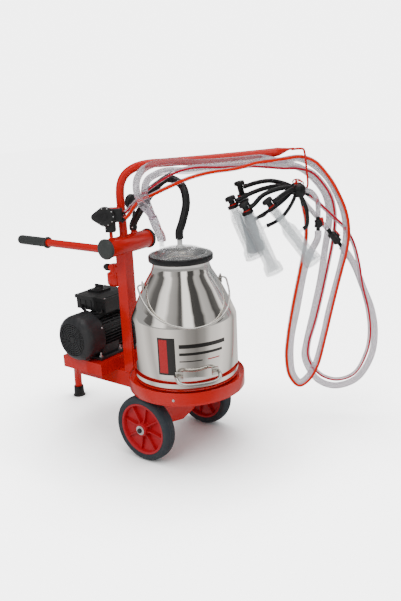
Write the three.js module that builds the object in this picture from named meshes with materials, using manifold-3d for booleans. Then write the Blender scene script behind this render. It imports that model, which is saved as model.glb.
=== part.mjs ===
// Wheeled vacuum milking machine with a steel pail, a motor-driven pump and two hanging clusters.
// Millimetres, +Z up. Working coordinates put the pail's axis at x = y = 0; the handle points to +Y
// and the wheels turn about X. The finished group is moved so that its base is centred.
import * as THREE from "three";
import { mergeVertices } from "three/addons/utils/BufferGeometryUtils.js";
import Module from "manifold-3d";

const wasm = await Module();
wasm.setup();

// ---- driving dimensions -------------------------------------------------------------------
const GAP = 0.3;                 // clearance between pieces that touch
const CENTRE_SHIFT = [-121, -209.9, 0];

const WHEEL = { radius: 106, rimRadius: 84, width: 46, track: 153, y: 53, spokes: 8 };
const AXLE_RADIUS = 8;
const BORE_RADIUS = 8.3;
const TRAY = { radius: 184.5, wall: 3.5, bottom: 213, floor: 246, top: 254, floorThick: 3 };
const BEAM = { width: 40, bottom: 150, top: 205, wall: 2.5, front: 79.3, rear: 480 };
const PLATE = { x0: -100, x1: 150, y0: 285, y1: 470, top: 251, sheet: 3, lip: 42 };
const MAST = { side: 40, wall: 2.5, y: 235, top: 634 };
const TANK = { radius: 30, wall: 2.5, z: 644, x0: -84, x1: 122 };
const TUBE_RADIUS = 13.5;        // handle and hose arm
const HANDLE = { z: 620, start: 255.3, end: 745, gripStart: 602, gripEnd: 757 };
const PAIL = { base: 247, radius: 165, neckRadius: 88, wall: 1.5, neckTop: 630 };
const BAIL = { pivotHeight: 550, reach: 129, wire: 3, restAngle: -30 };
const LID = { rim: 636, domeRadius: 75, domeTop: 660, nozzleTop: 682, milkNozzleTop: 672 };
const MILK_NOZZLE = [-12, 62];
const MOTOR = { y: 380, z: 331, core: 66, cowl: 79, cowlFront: -132, cowlBack: -60, end: 72 };
const PULSATOR_X = -53;
const GAUGE = { x: 74, y: 252, z: 772, radius: 26 };
const REGULATOR = { y: 284, z: 502 };
const MILK_HOSE_RADIUS = 11;
const PULSE_HOSE_RADIUS = 6.5;
const VACUUM_HOSE_RADIUS = 12.5;

// The pail stands turned so that its front handle faces away from the hose arm's side.
const EAR = new THREE.Vector3(0.7705, -0.6374, 0);
const FRONT = new THREE.Vector3(-0.6374, -0.7705, 0);

// The hose arm leaves the mast diagonally: "along" runs out with it, "aside" is level and square to it.
const ALONG = new THREE.Vector3(0.609, -0.793, 0);
const ASIDE = new THREE.Vector3(-0.793, -0.609, 0);
const UP = new THREE.Vector3(0, 0, 1);
const X = new THREE.Vector3(1, 0, 0);
const Y = new THREE.Vector3(0, 1, 0);

const parts = new THREE.Group();
parts.name = "milking_machine";

// ---- helpers ------------------------------------------------------------------------------
const rad = THREE.MathUtils.degToRad;
const vec = (x, y, z) => new THREE.Vector3(x, y, z);

function atArm([along, aside, z]) {
  return vec(0, MAST.y, z).addScaledVector(ALONG, along).addScaledVector(ASIDE, aside);
}

function atPail(across, front, z) {
  return vec(0, 0, z).addScaledVector(EAR, across).addScaledVector(FRONT, front);
}

// A closed, outward-facing copy with shared vertices and no zero-area faces.
function solid(source) {
  const bare = source.clone();
  for (const name of ["normal", "uv"]) bare.deleteAttribute(name);
  const merged = mergeVertices(bare, 1e-4);
  const p = merged.attributes.position;
  const index = merged.index.array;
  const a = vec(0, 0, 0);
  const b = vec(0, 0, 0);
  const c = vec(0, 0, 0);
  const kept = [];
  let volume = 0;
  for (let i = 0; i < index.length; i += 3) {
    const [i0, i1, i2] = [index[i], index[i + 1], index[i + 2]];
    if (i0 === i1 || i1 === i2 || i2 === i0) continue;
    a.fromBufferAttribute(p, i0);
    b.fromBufferAttribute(p, i1);
    c.fromBufferAttribute(p, i2);
    volume += a.dot(b.cross(c));
    kept.push(i0, i1, i2);
  }
  if (volume < 0) kept.reverse();
  merged.setIndex(kept);
  return merged;
}

function toManifold(geometry) {
  const g = solid(geometry);
  return new wasm.Manifold(new wasm.Mesh({
    numProp: 3,
    vertProperties: new Float32Array(g.attributes.position.array),
    triVerts: new Uint32Array(g.index.array),
  }));
}

function fromManifold(body) {
  const mesh = body.getMesh();
  const g = new THREE.BufferGeometry();
  g.setAttribute("position", new THREE.BufferAttribute(new Float32Array(mesh.vertProperties), 3));
  g.setIndex(new THREE.BufferAttribute(new Uint32Array(mesh.triVerts), 1));
  return g;
}

function join(...geometries) {
  const bodies = geometries.map(toManifold);
  return fromManifold(bodies.reduce((sum, body) => sum.add(body)));
}

function cut(geometry, ...tools) {
  return fromManifold(tools.map(toManifold).reduce((sum, tool) => sum.subtract(tool), toManifold(geometry)));
}

function block(x0, x1, y0, y1, z0, z1) {
  const g = new THREE.BoxGeometry(x1 - x0, y1 - y0, z1 - z0);
  return g.translate((x0 + x1) / 2, (y0 + y1) / 2, (z0 + z1) / 2);
}

// Turns a geometry built about +Y so that it stands along a direction at an origin.
function place(geometry, direction, origin) {
  const turn = new THREE.Quaternion().setFromUnitVectors(Y, direction.clone().normalize());
  return geometry.applyQuaternion(turn).translate(origin.x, origin.y, origin.z);
}

function rod(from, to, radius, sides = 12) {
  const span = to.clone().sub(from);
  const g = new THREE.CylinderGeometry(radius, radius, span.length(), sides);
  return place(g, span, from.clone().addScaledVector(span, 0.5));
}

// Profile points are [radius, height]; a ring profile must close on itself.
function turned(profile, sides, direction = UP, origin = vec(0, 0, 0)) {
  const points = profile.map(([r, t]) => new THREE.Vector2(r, t));
  return place(new THREE.LatheGeometry(points, sides), direction, origin);
}

const ring = (profile, sides, direction, origin) => turned([...profile, profile[0]], sides, direction, origin);

function tube(points, radius, sides, steps) {
  const section = new THREE.Shape();
  for (let i = 0; i < sides; i += 1) {
    const turn = (i * 2 * Math.PI) / sides;
    const [x, y] = [radius * Math.cos(turn), radius * Math.sin(turn)];
    if (i === 0) section.moveTo(x, y);
    else section.lineTo(x, y);
  }
  section.closePath();
  const path = new THREE.CatmullRomCurve3(points, false, "centripetal");
  return new THREE.ExtrudeGeometry(section, { steps, bevelEnabled: false, extrudePath: path });
}

// A box in arm coordinates, centred on a point, with sizes along, aside and up.
function armBlock(centre, along, aside, up) {
  const frame = new THREE.Matrix4().makeBasis(ALONG, ASIDE.clone().negate(), UP);
  const g = new THREE.BoxGeometry(along, aside, up).applyMatrix4(frame);
  const at = atArm(centre);
  return g.translate(at.x, at.y, at.z);
}

function add(name, geometry, color, roughness, metalness) {
  const mesh = new THREE.Mesh(solid(geometry), new THREE.MeshStandardMaterial({ color, roughness, metalness }));
  mesh.name = name;
  parts.add(mesh);
}

const RED = [0xc21a08, 0.35, 0.1];
const BLACK = [0x24262a, 0.5, 0];
const RUBBER = [0x1d1e20, 0.8, 0];
const STEEL = [0xc9c6c0, 0.15, 1];
const CLEAR = [0xd9d4dc, 0.15, 0];
const PULSE = [0xe2b8b4, 0.3, 0];

// ---- chassis, axle and stand --------------------------------------------------------------
const half = BEAM.width / 2;
const beam = cut(
  block(-half, half, BEAM.front, BEAM.rear, BEAM.bottom, BEAM.top),
  block(-half + BEAM.wall, half - BEAM.wall, BEAM.front - 1, BEAM.rear + 1,
    BEAM.bottom + BEAM.wall, BEAM.top - BEAM.wall),
);
const plate = cut(
  block(PLATE.x0, PLATE.x1, PLATE.y0, PLATE.y1, PLATE.top - PLATE.lip, PLATE.top),
  block(PLATE.x0 + PLATE.sheet, PLATE.x1 - PLATE.sheet, PLATE.y0 + PLATE.sheet, PLATE.y1 - PLATE.sheet,
    PLATE.top - PLATE.lip - 1, PLATE.top - PLATE.sheet),
);
const web = block(-half, half, PLATE.y0 + 1, PLATE.y1 - 1, BEAM.top - 1, PLATE.top - 1);
add("chassis", join(beam, plate, web), ...RED);

const mastHalf = MAST.side / 2;
const mastOuter = block(-mastHalf, mastHalf, MAST.y - mastHalf, MAST.y + mastHalf, BEAM.top + GAP, MAST.top);
const mastInner = block(-mastHalf + MAST.wall, mastHalf - MAST.wall, MAST.y - mastHalf + MAST.wall,
  MAST.y + mastHalf - MAST.wall, BEAM.top - 1, MAST.top + 1);
const tankClear = rod(vec(-200, MAST.y, TANK.z), vec(200, MAST.y, TANK.z), TANK.radius + GAP, 24);
add("mast", cut(mastOuter, mastInner, tankClear), ...RED);

add("tray", turned([
  [0, TRAY.floor - TRAY.floorThick], [TRAY.radius - TRAY.wall, TRAY.floor - TRAY.floorThick],
  [TRAY.radius - TRAY.wall, TRAY.bottom], [TRAY.radius, TRAY.bottom], [TRAY.radius, TRAY.top],
  [TRAY.radius - TRAY.wall, TRAY.top], [TRAY.radius - TRAY.wall, TRAY.floor], [0, TRAY.floor],
], 32), ...RED);

// The carrier is a bent channel: a V-bottomed front and back, a top web and two bearing plates.
const CARRIER = { y0: 27, y1: 79, sheet: 3, top: TRAY.floor - TRAY.floorThick - GAP, low: 77, bearing: 92 };
function carrierPrism(y0, y1, inset, bottom) {
  const outline = new THREE.Shape();
  const top = CARRIER.top - inset;
  outline.moveTo(-112 + inset, top);
  outline.lineTo(-112 + inset, 172);
  outline.lineTo(-64 + inset, bottom + 14);
  outline.lineTo(0, bottom);
  outline.lineTo(64 - inset, bottom + 14);
  outline.lineTo(112 - inset, 172);
  outline.lineTo(112 - inset, top);
  outline.closePath();
  const g = new THREE.ExtrudeGeometry(outline, { depth: y1 - y0, bevelEnabled: false });
  return g.rotateX(Math.PI / 2).translate(0, y1, 0);
}
const channel = cut(
  carrierPrism(CARRIER.y0, CARRIER.y1, 0, CARRIER.low),
  block(-130, 130, CARRIER.y0 + CARRIER.sheet, CARRIER.y1 - CARRIER.sheet, 0, CARRIER.top - CARRIER.sheet),
);
const bearings = [-1, 1].map((side) => block(side * CARRIER.bearing - 3, side * CARRIER.bearing + 3,
  CARRIER.y0 + 1, CARRIER.y1 - 1, WHEEL.radius - 16, CARRIER.top - 1));
const axleLine = (x, z = WHEEL.radius) => vec(x, WHEEL.y, z);
add("axle_carrier", cut(join(channel, ...bearings), rod(axleLine(-130), axleLine(130), BORE_RADIUS, 16)), ...RED);

const hubOuter = WHEEL.track + 26;
const axleHalf = [[0, hubOuter + 9], [AXLE_RADIUS, hubOuter + 6], [15, hubOuter + 3.5], [15, hubOuter + GAP],
  [AXLE_RADIUS, hubOuter + GAP], [AXLE_RADIUS, WHEEL.track - 27], [12, WHEEL.track - 27], [12, 115],
  [AXLE_RADIUS, 115]];
const axleProfile = [...axleHalf, ...axleHalf.map(([r, t]) => [r, -t]).reverse()];
add("axle", turned(axleProfile, 16, X, axleLine(0)), 0xb9bcc0, 0.3, 1);

add("stand_leg", tube([vec(0, BEAM.rear + GAP, 178), vec(9, 506, 176), vec(45, 566, 148), vec(71, 598, 100),
  vec(78.5, 608, 66), vec(79, 609, 46), vec(79, 609, 12.3)], 14, 10, 14), ...RED);
add("leg_foot", ring([[15.2, 12], [15.2, 40], [18.5, 40], [19.5, 6], [23, 4], [23, 0], [8, 0], [8, 12]],
  16, UP, vec(79, 609, 0)), ...RUBBER);

// ---- wheels -------------------------------------------------------------------------------
const rimProfile = [[BORE_RADIUS, -26], [20, -26], [20, -3], [76, -3], [77, -19], [84, -20],
  [84, 20], [77, 19], [76, 3], [20, 3], [20, 26], [BORE_RADIUS, 26]];
const tyreProfile = [[84.3, -20], [96, -22.5], [102.5, -17], [106, -5], [106, 5], [102.5, 17], [96, 22.5],
  [84.3, 20]];
for (const [name, side] of [["left", -1], ["right", 1]]) {
  const at = axleLine(side * WHEEL.track);
  const ribs = [];
  for (let i = 0; i < WHEEL.spokes / 2; i += 1) {
    const turn = (i * 2 * Math.PI) / WHEEL.spokes;
    const rib = new THREE.BoxGeometry(26, 154, 3.5).rotateX(turn + rad(12));
    ribs.push(rib.translate(at.x, at.y, at.z));
  }
  const spokes = cut(join(...ribs), rod(axleLine(at.x - 40), axleLine(at.x + 40), 14, 8));
  add(`rim_${name}`, join(ring(rimProfile, 20, X, at), spokes), 0xd42430, 0.45, 0);
  add(`tyre_${name}`, ring(tyreProfile, 20, X, at), 0x394047, 0.85, 0);
}

// ---- vacuum tank, handle and hose arm -----------------------------------------------------
const tankLine = (x) => vec(x, MAST.y, TANK.z);
const tankShell = ring([[TANK.radius - TANK.wall, TANK.x0], [TANK.radius, TANK.x0], [TANK.radius, TANK.x1],
  [TANK.radius - TANK.wall, TANK.x1]], 24, X, tankLine(0));
const HOSE_PORT = vec(52, MAST.y, 684);
const tankTop = TANK.z + TANK.radius - 2;
add("vacuum_tank", join(tankShell,
  rod(vec(PULSATOR_X, MAST.y, tankTop), vec(PULSATOR_X, MAST.y, 695), 6, 12),
  rod(vec(HOSE_PORT.x, HOSE_PORT.y, tankTop), HOSE_PORT, 9, 12),
  rod(vec(GAUGE.x, GAUGE.y - 4, tankTop - 6), vec(GAUGE.x, GAUGE.y - 4, tankTop + 12), 6, 12)), ...RED);
for (const [name, x, out] of [["left", TANK.x0, -1], ["right", TANK.x1, 1]]) {
  const face = x + out * 9;
  const cap = [[0, face], [22, face - out], [31, face - out * 4], [33.5, face - out * 9],
    [33.5, x - out * 7], [TANK.radius + GAP, x - out * 7], [TANK.radius + GAP, x + out * GAP], [0, x + out * GAP]];
  add(`tank_cap_${name}`, turned(cap, 24, X, tankLine(0)), ...BLACK);
}

const handleLine = (y) => vec(0, y, HANDLE.z);
add("handle_tube", cut(rod(handleLine(HANDLE.start + GAP), handleLine(HANDLE.end), TUBE_RADIUS, 16), tankClear),
  ...RED);
add("handle_grip", turned([[0, HANDLE.gripEnd], [14, HANDLE.gripEnd - 1], [17, HANDLE.gripEnd - 6],
  [17, HANDLE.gripStart + 8], [21, HANDLE.gripStart + 6], [21, HANDLE.gripStart],
  [TUBE_RADIUS + GAP, HANDLE.gripStart], [TUBE_RADIUS + GAP, HANDLE.end + GAP], [0, HANDLE.end + GAP]],
20, Y, handleLine(0)), ...RUBBER);

const armBend = tube([[3, 0, 674.5], [2, 0, 740], [1, 0, 805], [6, 0, 840], [22, 0, 868], [52, 0, 888],
  [92, 0, 897.5], [120, 0, 898.6]].map(atArm), TUBE_RADIUS, 10, 12);
const armRun = tube([[110, 0, 898.2], [300, 0, 905], [520, 0, 917]].map(atArm), TUBE_RADIUS, 10, 2);
const armTip = rod(atArm([515, 0, 917]), atArm([556, 0, 921.5]), 7, 8);
const hookWire = tube([[550, 0, 921.5], [572, 2, 923], [584, 6, 921], [588, 10, 908], [593, 12, 860],
  [597, 12, 812], [594, 9, 801], [584, 4, 796], [572, 0, 799], [564, 0, 811], [561, 0, 829]].map(atArm), 3, 6, 20);
add("hose_arm", cut(join(armBend, armRun, armTip, hookWire), tankClear), ...RED);

// ---- motor and pump -----------------------------------------------------------------------
const motorLine = (x) => vec(x, MOTOR.y, MOTOR.z);
const carcass = ring([[BORE_RADIUS, MOTOR.cowlBack], [MOTOR.core, MOTOR.cowlBack], [MOTOR.core, MOTOR.end],
  [BORE_RADIUS, MOTOR.end], [BORE_RADIUS, 64], [42, 64], [42, -52], [BORE_RADIUS, -52]], 24, X, motorLine(0));
const fins = [];
for (const side of [-1, 1]) {
  for (let i = -2; i <= 2; i += 1) {
    const z = MOTOR.z + i * 18;
    const reach = Math.sqrt(75 ** 2 - (z - MOTOR.z) ** 2);
    const inner = Math.sqrt(62 ** 2 - (z - MOTOR.z) ** 2);
    const [y0, y1] = side < 0 ? [MOTOR.y - reach, MOTOR.y - inner] : [MOTOR.y + inner, MOTOR.y + reach];
    fins.push(block(-52, 60, y0, y1, z - 1.5, z + 1.5));
  }
}
const footing = join(block(-76, 40, MOTOR.y - 74, MOTOR.y + 74, PLATE.top + GAP, PLATE.top + 11),
  block(-50, 30, MOTOR.y - 48, MOTOR.y + 48, PLATE.top + 10, MOTOR.z - 34));
const motorBore = rod(motorLine(-52), motorLine(64), 42, 24);
const shaftBore = rod(motorLine(-90), motorLine(90), BORE_RADIUS, 16);
add("motor_housing", cut(join(carcass, ...fins, footing), motorBore, shaftBore), ...BLACK);

const cowl = ring([[MOTOR.cowl - 2, MOTOR.cowlBack + 8], [MOTOR.cowl, MOTOR.cowlBack + 8],
  [MOTOR.cowl, MOTOR.cowlFront + 30], [74, MOTOR.cowlFront + 12], [60, MOTOR.cowlFront], [12, MOTOR.cowlFront],
  [12, MOTOR.cowlFront + 3], [58, MOTOR.cowlFront + 3], [71.5, MOTOR.cowlFront + 13],
  [MOTOR.cowl - 2, MOTOR.cowlFront + 31]], 24, X, motorLine(0));
const footClear = block(-90, 60, MOTOR.y - 75, MOTOR.y + 75, 200, PLATE.top + 11.5);
add("fan_cover", cut(cowl, footClear), ...BLACK);

add("motor_rotor", turned([[0, -122], [AXLE_RADIUS, -122], [AXLE_RADIUS, -48], [40, -48], [40, 60],
  [AXLE_RADIUS, 60], [AXLE_RADIUS, 140], [0, 140]], 16, X, motorLine(0)), 0x9a9ea3, 0.35, 1);
const blades = [];
for (let i = 0; i < 6; i += 1) {
  const blade = new THREE.BoxGeometry(22, 44, 2.5).translate(0, 40, 0).rotateX(rad(i * 60));
  blades.push(blade.translate(-98, MOTOR.y, MOTOR.z));
}
add("motor_fan", join(ring([[BORE_RADIUS, -110], [19, -110], [19, -86], [BORE_RADIUS, -86]], 16, X, motorLine(0)),
  ...blades), ...BLACK);

const BOX = { x0: -32, x1: 112, y0: 311, y1: 457, z0: MOTOR.z + 75.5, z1: 456, sheet: 3 };
add("terminal_box", cut(
  join(block(BOX.x0, BOX.x1, BOX.y0, BOX.y1, BOX.z1 - 12, BOX.z1),
    block(BOX.x0 + 4, BOX.x1 - 4, BOX.y0 + 4, BOX.y1 - 4, BOX.z0, BOX.z1 - 6),
    block(20, 76, 388, 444, BOX.z1 - 1, BOX.z1 + 6)),
  block(BOX.x0 + 7, BOX.x1 - 7, BOX.y0 + 7, BOX.y1 - 7, BOX.z0 - 1, BOX.z1 - 15),
), ...BLACK);
const knobBase = vec(48, 416, BOX.z1 + 6 + GAP);
const knobGrip = block(44, 52, 398, 434, knobBase.z + 5, knobBase.z + 16);
add("switch_knob", join(turned([[0, 0], [17, 0], [15, 8], [0, 8]], 20, UP, knobBase), knobGrip), ...BLACK);

const pumpCase = ring([[BORE_RADIUS, MOTOR.end + GAP], [64, MOTOR.end + GAP], [64, 84], [54, 86], [54, 146],
  [48, 152], [BORE_RADIUS - 2, 152], [BORE_RADIUS - 2, 146], [36, 146], [36, 90], [BORE_RADIUS, 90]],
16, X, motorLine(0));
const pumpFeet = block(88, 140, MOTOR.y - 50, MOTOR.y + 50, PLATE.top + GAP, PLATE.top + 9);
const pumpWeb = block(92, 136, MOTOR.y - 26, MOTOR.y + 26, PLATE.top + 8, MOTOR.z - 40);
const pumpPort = rod(vec(114, MOTOR.y, MOTOR.z + 50), vec(114, MOTOR.y, MOTOR.z + 64), 10, 12);
add("pump_body", join(pumpCase, pumpFeet, pumpWeb, pumpPort), 0x8f9398, 0.45, 0.9);
const vanes = [0, 90].map((turn) => cut(
  new THREE.BoxGeometry(48, 70, 3).rotateX(rad(turn)).translate(116, MOTOR.y, MOTOR.z),
  rod(motorLine(60), motorLine(160), 20, 16),
));
add("pump_rotor", join(ring([[BORE_RADIUS, 92], [28, 92], [28, 143], [BORE_RADIUS, 143]], 16, X, motorLine(0)),
  ...vanes), 0x9a9ea3, 0.35, 1);

// ---- regulator, pulsator and gauge --------------------------------------------------------
const regulatorAt = vec(0, REGULATOR.y, REGULATOR.z);
add("regulator_body", join(
  turned([[0, 0], [20, 0], [27, 8], [27, 42], [17, 46], [17, 70], [14, 73], [0, 73]], 20, UP, regulatorAt),
  block(-12, 12, MAST.y + mastHalf + GAP, REGULATOR.y, 545, 568),
  rod(vec(0, REGULATOR.y, 561), vec(0, REGULATOR.y + 22, 561), 9, 12)), ...RED);
add("regulator_cap", turned([[0, 0], [12, 0], [12, 16], [9, 24], [4, 27], [0, 27]], 12, Y,
  vec(0, REGULATOR.y + 22 + GAP, 561)), ...BLACK);

const COVER = { along: -44, z: 748, aside: 62 };
add("pulsator_body", join(
  rod(atArm([COVER.along, 34, COVER.z]), atArm([COVER.along, COVER.aside - GAP, COVER.z]), 25, 20),
  armBlock([-16, 46, 750], 50, 30, 46),
  armBlock([-32, 42, 712.3], 32, 32, 34 - 2 * GAP),
  rod(atArm([4, 46, 726]), atArm([16, 46, 736]), 5.5, 8),
  rod(atArm([4, 35, 744]), atArm([16, 35, 754]), 5.5, 8)), ...BLACK);
const drop = new THREE.Shape();
drop.absarc(0, 0, 31, -0.62 * Math.PI, 0.62 * Math.PI, false);
drop.absarc(-30, 0, 13, 0.66 * Math.PI, 1.34 * Math.PI, false);
drop.closePath();
const coverFrame = new THREE.Matrix4().makeBasis(ALONG, UP, ASIDE);
const coverAt = atArm([COVER.along, COVER.aside, COVER.z]);
add("pulsator_cover", new THREE.ExtrudeGeometry(drop, {
  depth: 6, bevelEnabled: true, bevelThickness: 6, bevelSize: 6, bevelOffset: -6, bevelSegments: 1, curveSegments: 7,
}).applyMatrix4(coverFrame).translate(coverAt.x + 6 * ASIDE.x, coverAt.y + 6 * ASIDE.y, coverAt.z), ...BLACK);

const gaugeAt = vec(GAUGE.x, GAUGE.y, GAUGE.z);
const gaugeCup = turned([[0, -9], [24, -9], [GAUGE.radius, -6], [GAUGE.radius, 10], [23, 10], [23, 2], [0, 2]],
  24, Y, gaugeAt);
const stemTop = vec(GAUGE.x, GAUGE.y - 4, GAUGE.z - 22);
add("gauge_case", join(gaugeCup, rod(vec(stemTop.x, stemTop.y, tankTop + 12 + GAP), stemTop, 4.5, 10)), ...BLACK);
const needleHub = rod(vec(GAUGE.x, GAUGE.y + 2.4, GAUGE.z), vec(GAUGE.x, GAUGE.y + 5, GAUGE.z), 3, 12);
const needleArm = new THREE.BoxGeometry(2.2, 1.2, 19).translate(0, 0, 8).rotateY(rad(135));
add("gauge_needle", join(needleHub, needleArm.translate(GAUGE.x, GAUGE.y + 4, GAUGE.z)), 0xb01010, 0.5, 0);

// ---- pail, lid and bail -------------------------------------------------------------------
const shoulder = [[160, 456], [150, 482], [117, 548], [96, 583], [PAIL.neckRadius, 606], [PAIL.neckRadius, 624]];
const pailOuter = [[157, PAIL.base + GAP], [PAIL.radius, PAIL.base + 12], [PAIL.radius, 436], ...shoulder];
const pailShell = turned([[0, PAIL.base + 6], [150, PAIL.base + 6], [152, PAIL.base + GAP], ...pailOuter,
  [96, 626], [96, PAIL.neckTop], ...[...shoulder].reverse().map(([r, z]) => [r - PAIL.wall, z + 1]),
  [PAIL.radius - PAIL.wall, 436], [PAIL.radius - PAIL.wall, PAIL.base + 13], [0, PAIL.base + 8]], 32);
const ears = [-1, 1].map((side) => {
  const frame = new THREE.Matrix4().makeBasis(EAR, FRONT.clone().negate(), UP);
  const lug = new THREE.BoxGeometry(16, 14, 26).applyMatrix4(frame);
  const at = atPail(side * (BAIL.reach - 7), 0, BAIL.pivotHeight);
  const hole = rod(atPail(side * (BAIL.reach + 3), 0, BAIL.pivotHeight),
    atPail(side * (BAIL.reach - 9), 0, BAIL.pivotHeight), 4.2, 12);
  return cut(lug.translate(at.x, at.y, at.z), hole);
});
add("pail_body", join(pailShell, ...ears), ...STEEL);

const wallClear = rod(vec(0, 0, 200), vec(0, 0, 430), PAIL.radius + GAP, 32);
const gripPath = [[-66, 140, 304], [-66, 168, 300], [-60, 184, 291], [-42, 193, 286], [42, 193, 286],
  [60, 184, 291], [66, 168, 300], [66, 140, 304]];
add("pail_handle", cut(tube(gripPath.map((p) => atPail(...p)), 6, 8, 22), wallClear), ...STEEL);

// The bail lies forward over the shoulder; its two ends turn inwards into the ears.
const lean = rad(BAIL.restAngle);
const bailPoint = (across, out) => atPail(across, out * Math.cos(lean), BAIL.pivotHeight + out * Math.sin(lean));
const bailHalf = [[-(BAIL.reach - 7.5), 0], [-(BAIL.reach + 3), 0], [-(BAIL.reach + 9), 5], [-(BAIL.reach + 9), 30],
  [-132, 76], [-113, 130], [-72, 176]];
const bailPath = [...bailHalf, [0, 200], ...bailHalf.map(([a, o]) => [-a, o]).reverse()];
add("pail_bail", tube(bailPath.map(([a, o]) => bailPoint(a, o)), BAIL.wire, 6, 40), ...STEEL);

add("lid_gasket", ring([[89.5, 617], [99.5, 619], [99.5, LID.rim], [86, LID.rim], [86, 631], [97, 631],
  [97, 623], [89.5, 623]], 24), ...RUBBER);
const dome = turned([[0, LID.domeTop], [36, LID.domeTop - 2], [60, LID.domeTop - 8], [LID.domeRadius, 644],
  [80, 639], [96, 639], [96, LID.rim + GAP], [76, LID.rim + GAP], [70, 643], [58, LID.domeTop - 11],
  [35, LID.domeTop - 5], [0, LID.domeTop - 3]], 24);
const milkNozzle = (z) => vec(MILK_NOZZLE[0], MILK_NOZZLE[1], z);
add("lid", join(dome, rod(vec(0, 0, LID.domeTop - 2), vec(0, 0, LID.nozzleTop), 8, 16),
  rod(milkNozzle(LID.domeTop - 10), milkNozzle(LID.milkNozzleTop), 8, 16)), 0xcfd4d6, 0.1, 0);

// ---- hoses --------------------------------------------------------------------------------
add("vacuum_hose", tube([vec(52, 235, 684.6), vec(52, 235, 700), vec(52, 200, 748), vec(57, 141, 817),
  vec(64, 89, 853), vec(62, 32, 836), vec(41, 0, 788), vec(14, -4, 734), vec(0, 0, 702),
  vec(0, 0, LID.nozzleTop + 2 * GAP)], VACUUM_HOSE_RADIUS, 8, 26), ...RUBBER);

// Two milk hoses leave one forked cuff on the lid; pulse hoses leave the pulsator. All four run out
// beside the arm, arch over its end and hang in loops before they turn up to the clusters.
add("milk_cuff", join(
  tube([[130, 115, LID.milkNozzleTop + 2 * GAP], [130, 115, 682], [118, 110, 713], [105, 101, 750]].map(atArm),
    14, 10, 6),
  tube([[107, 101, 742], [98, 108, 760], [90, 114, 771]].map(atArm), 11, 8, 2),
  tube([[107, 101, 742], [101, 95, 760], [97, 91, 772]].map(atArm), 11, 8, 2)), ...CLEAR);
const MILK_HOSES = [
  [[89.6, 114.3, 771.6], [80.1, 121.4, 784.7], [69, 112, 806], [62, 92, 832], [65, 66, 861], [83, 48, 885],
    [116, 36, 899], [158, 30, 904], [210, 27, 900], [275, 27, 896], [368, 27, 898], [452, 26, 901],
    [504, 12, 889], [544, -4, 892], [577, -21, 891], [615, -13, 873], [659, 4, 831], [687, 24, 778],
    [708, 34, 719], [716, 36, 658], [709, 36, 593], [696, 34, 530], [663, 30, 395], [645, 26, 303],
    [619, 20, 202], [594, 14, 157], [569, 10, 138], [546, 6, 167], [538, 4, 229], [542, 3, 301],
    [560, 3, 392], [591, 4, 547], [610, 12, 600], [624, 25, 634], [627, 28, 650], [627, 28, 664.4]],
  [[96.8, 90.8, 772.6], [91.4, 85.4, 788.9], [85, 80, 811], [88, 70, 838], [98, 64, 856], [118, 60, 868],
    [151, 54, 878], [215, 32, 874], [290, 14, 876], [385, 6, 880], [464, 2, 883], [512, -12, 880], [553, -30, 870],
    [592, -38, 853], [637, -38, 810], [664, -38, 766], [675, -38, 713], [673, -38, 664], [664, -38, 604],
    [646, -37, 482], [624, -36, 377], [599, -34, 267], [592, -33, 216], [613, -32, 159], [645, -28, 122],
    [700, -22, 105], [770, -16, 132], [817, -12, 212], [827, -10, 300], [814, -10, 383], [785, -9, 458],
    [756, -6, 532], [728, 6, 579], [707.7, 9, 605.3]],
];
const PULSE_HOSES = [
  [[16.3, 46, 736.3], [28, 46, 746], [51, 54, 777], [71, 58, 794], [101, 62, 806], [164, 92, 835],
    [227, 92, 858], [288, 70, 869], [369, 48, 875], [438, 44, 890], [482, 40, 893], [525, 24, 896],
    [581, -1, 897], [621, 6, 880], [658, 24, 836], [688, 44, 781], [710, 54, 722], [718, 56, 661],
    [711, 56, 597], [696, 54, 535], [666, 50, 401], [647, 46, 310], [622, 38, 205], [593, 32, 153],
    [563, 29, 135], [533, 26, 169], [522, 24, 237], [528, 22, 308], [542, 22, 398], [573, 21, 552],
    [589, 20, 635], [589, 21, 700], [583.2, 22, 732], [580, 22.5, 745.8]],
  [[16.3, 35, 754.3], [28, 35, 764], [53, 38, 787], [78, 44, 811], [128, 74, 848], [182, 78, 876],
    [243, 62, 887], [320, 44, 883], [415, 27, 880], [471, 20, 874], [520, 6, 867], [570, -14, 862],
    [615, -18, 847], [653, -15, 807], [679, -15, 761], [689, -15, 709], [687, -15, 650], [661, -15, 506],
    [628, -14, 358], [604, -14, 270], [602, -13, 223], [623, -12, 178], [655, -10, 148], [704, -8, 135],
    [757, 0, 158], [795, 8, 236], [804, 12, 308], [795, 13, 390], [774, 13, 474], [761, 13, 551],
    [744, 10, 615], [718, 8, 665], [686, 6, 697], [655, -6, 728], [628, -16, 755], [606, -20, 772]],
];
MILK_HOSES.forEach((route, i) => {
  add(`milk_hose_${i + 1}`, tube(route.map(atArm), MILK_HOSE_RADIUS, 8, 50), ...CLEAR);
});
PULSE_HOSES.forEach((route, i) => {
  add(`pulse_hose_${i + 1}`, tube(route.map(atArm), PULSE_HOSE_RADIUS, 8, 62), ...PULSE);
});

// ---- clusters: claws with their rubber tubes, shut-off valves and teat cups ------------------
const CLAW = { along: 568, aside: 24, low: 775, high: 815, radius: 20 };
const clawBody = [[0, CLAW.low], [14, CLAW.low], [CLAW.radius, CLAW.low + 8], [CLAW.radius, CLAW.high - 8],
  [12, CLAW.high], [0, CLAW.high]];
const NIPPLE = { inner: 18, outer: 36, radius: 5 };
const STEM = { radius: 10, portFromTop: 8.5 };
const KNOB_HEIGHT = 13;
const MILK_TUBE_RADIUS = 7.5;
const PULSE_TUBE_RADIUS = 6;
const LEAD = 14;                 // straight start of a tube where it leaves a fitting

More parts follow.
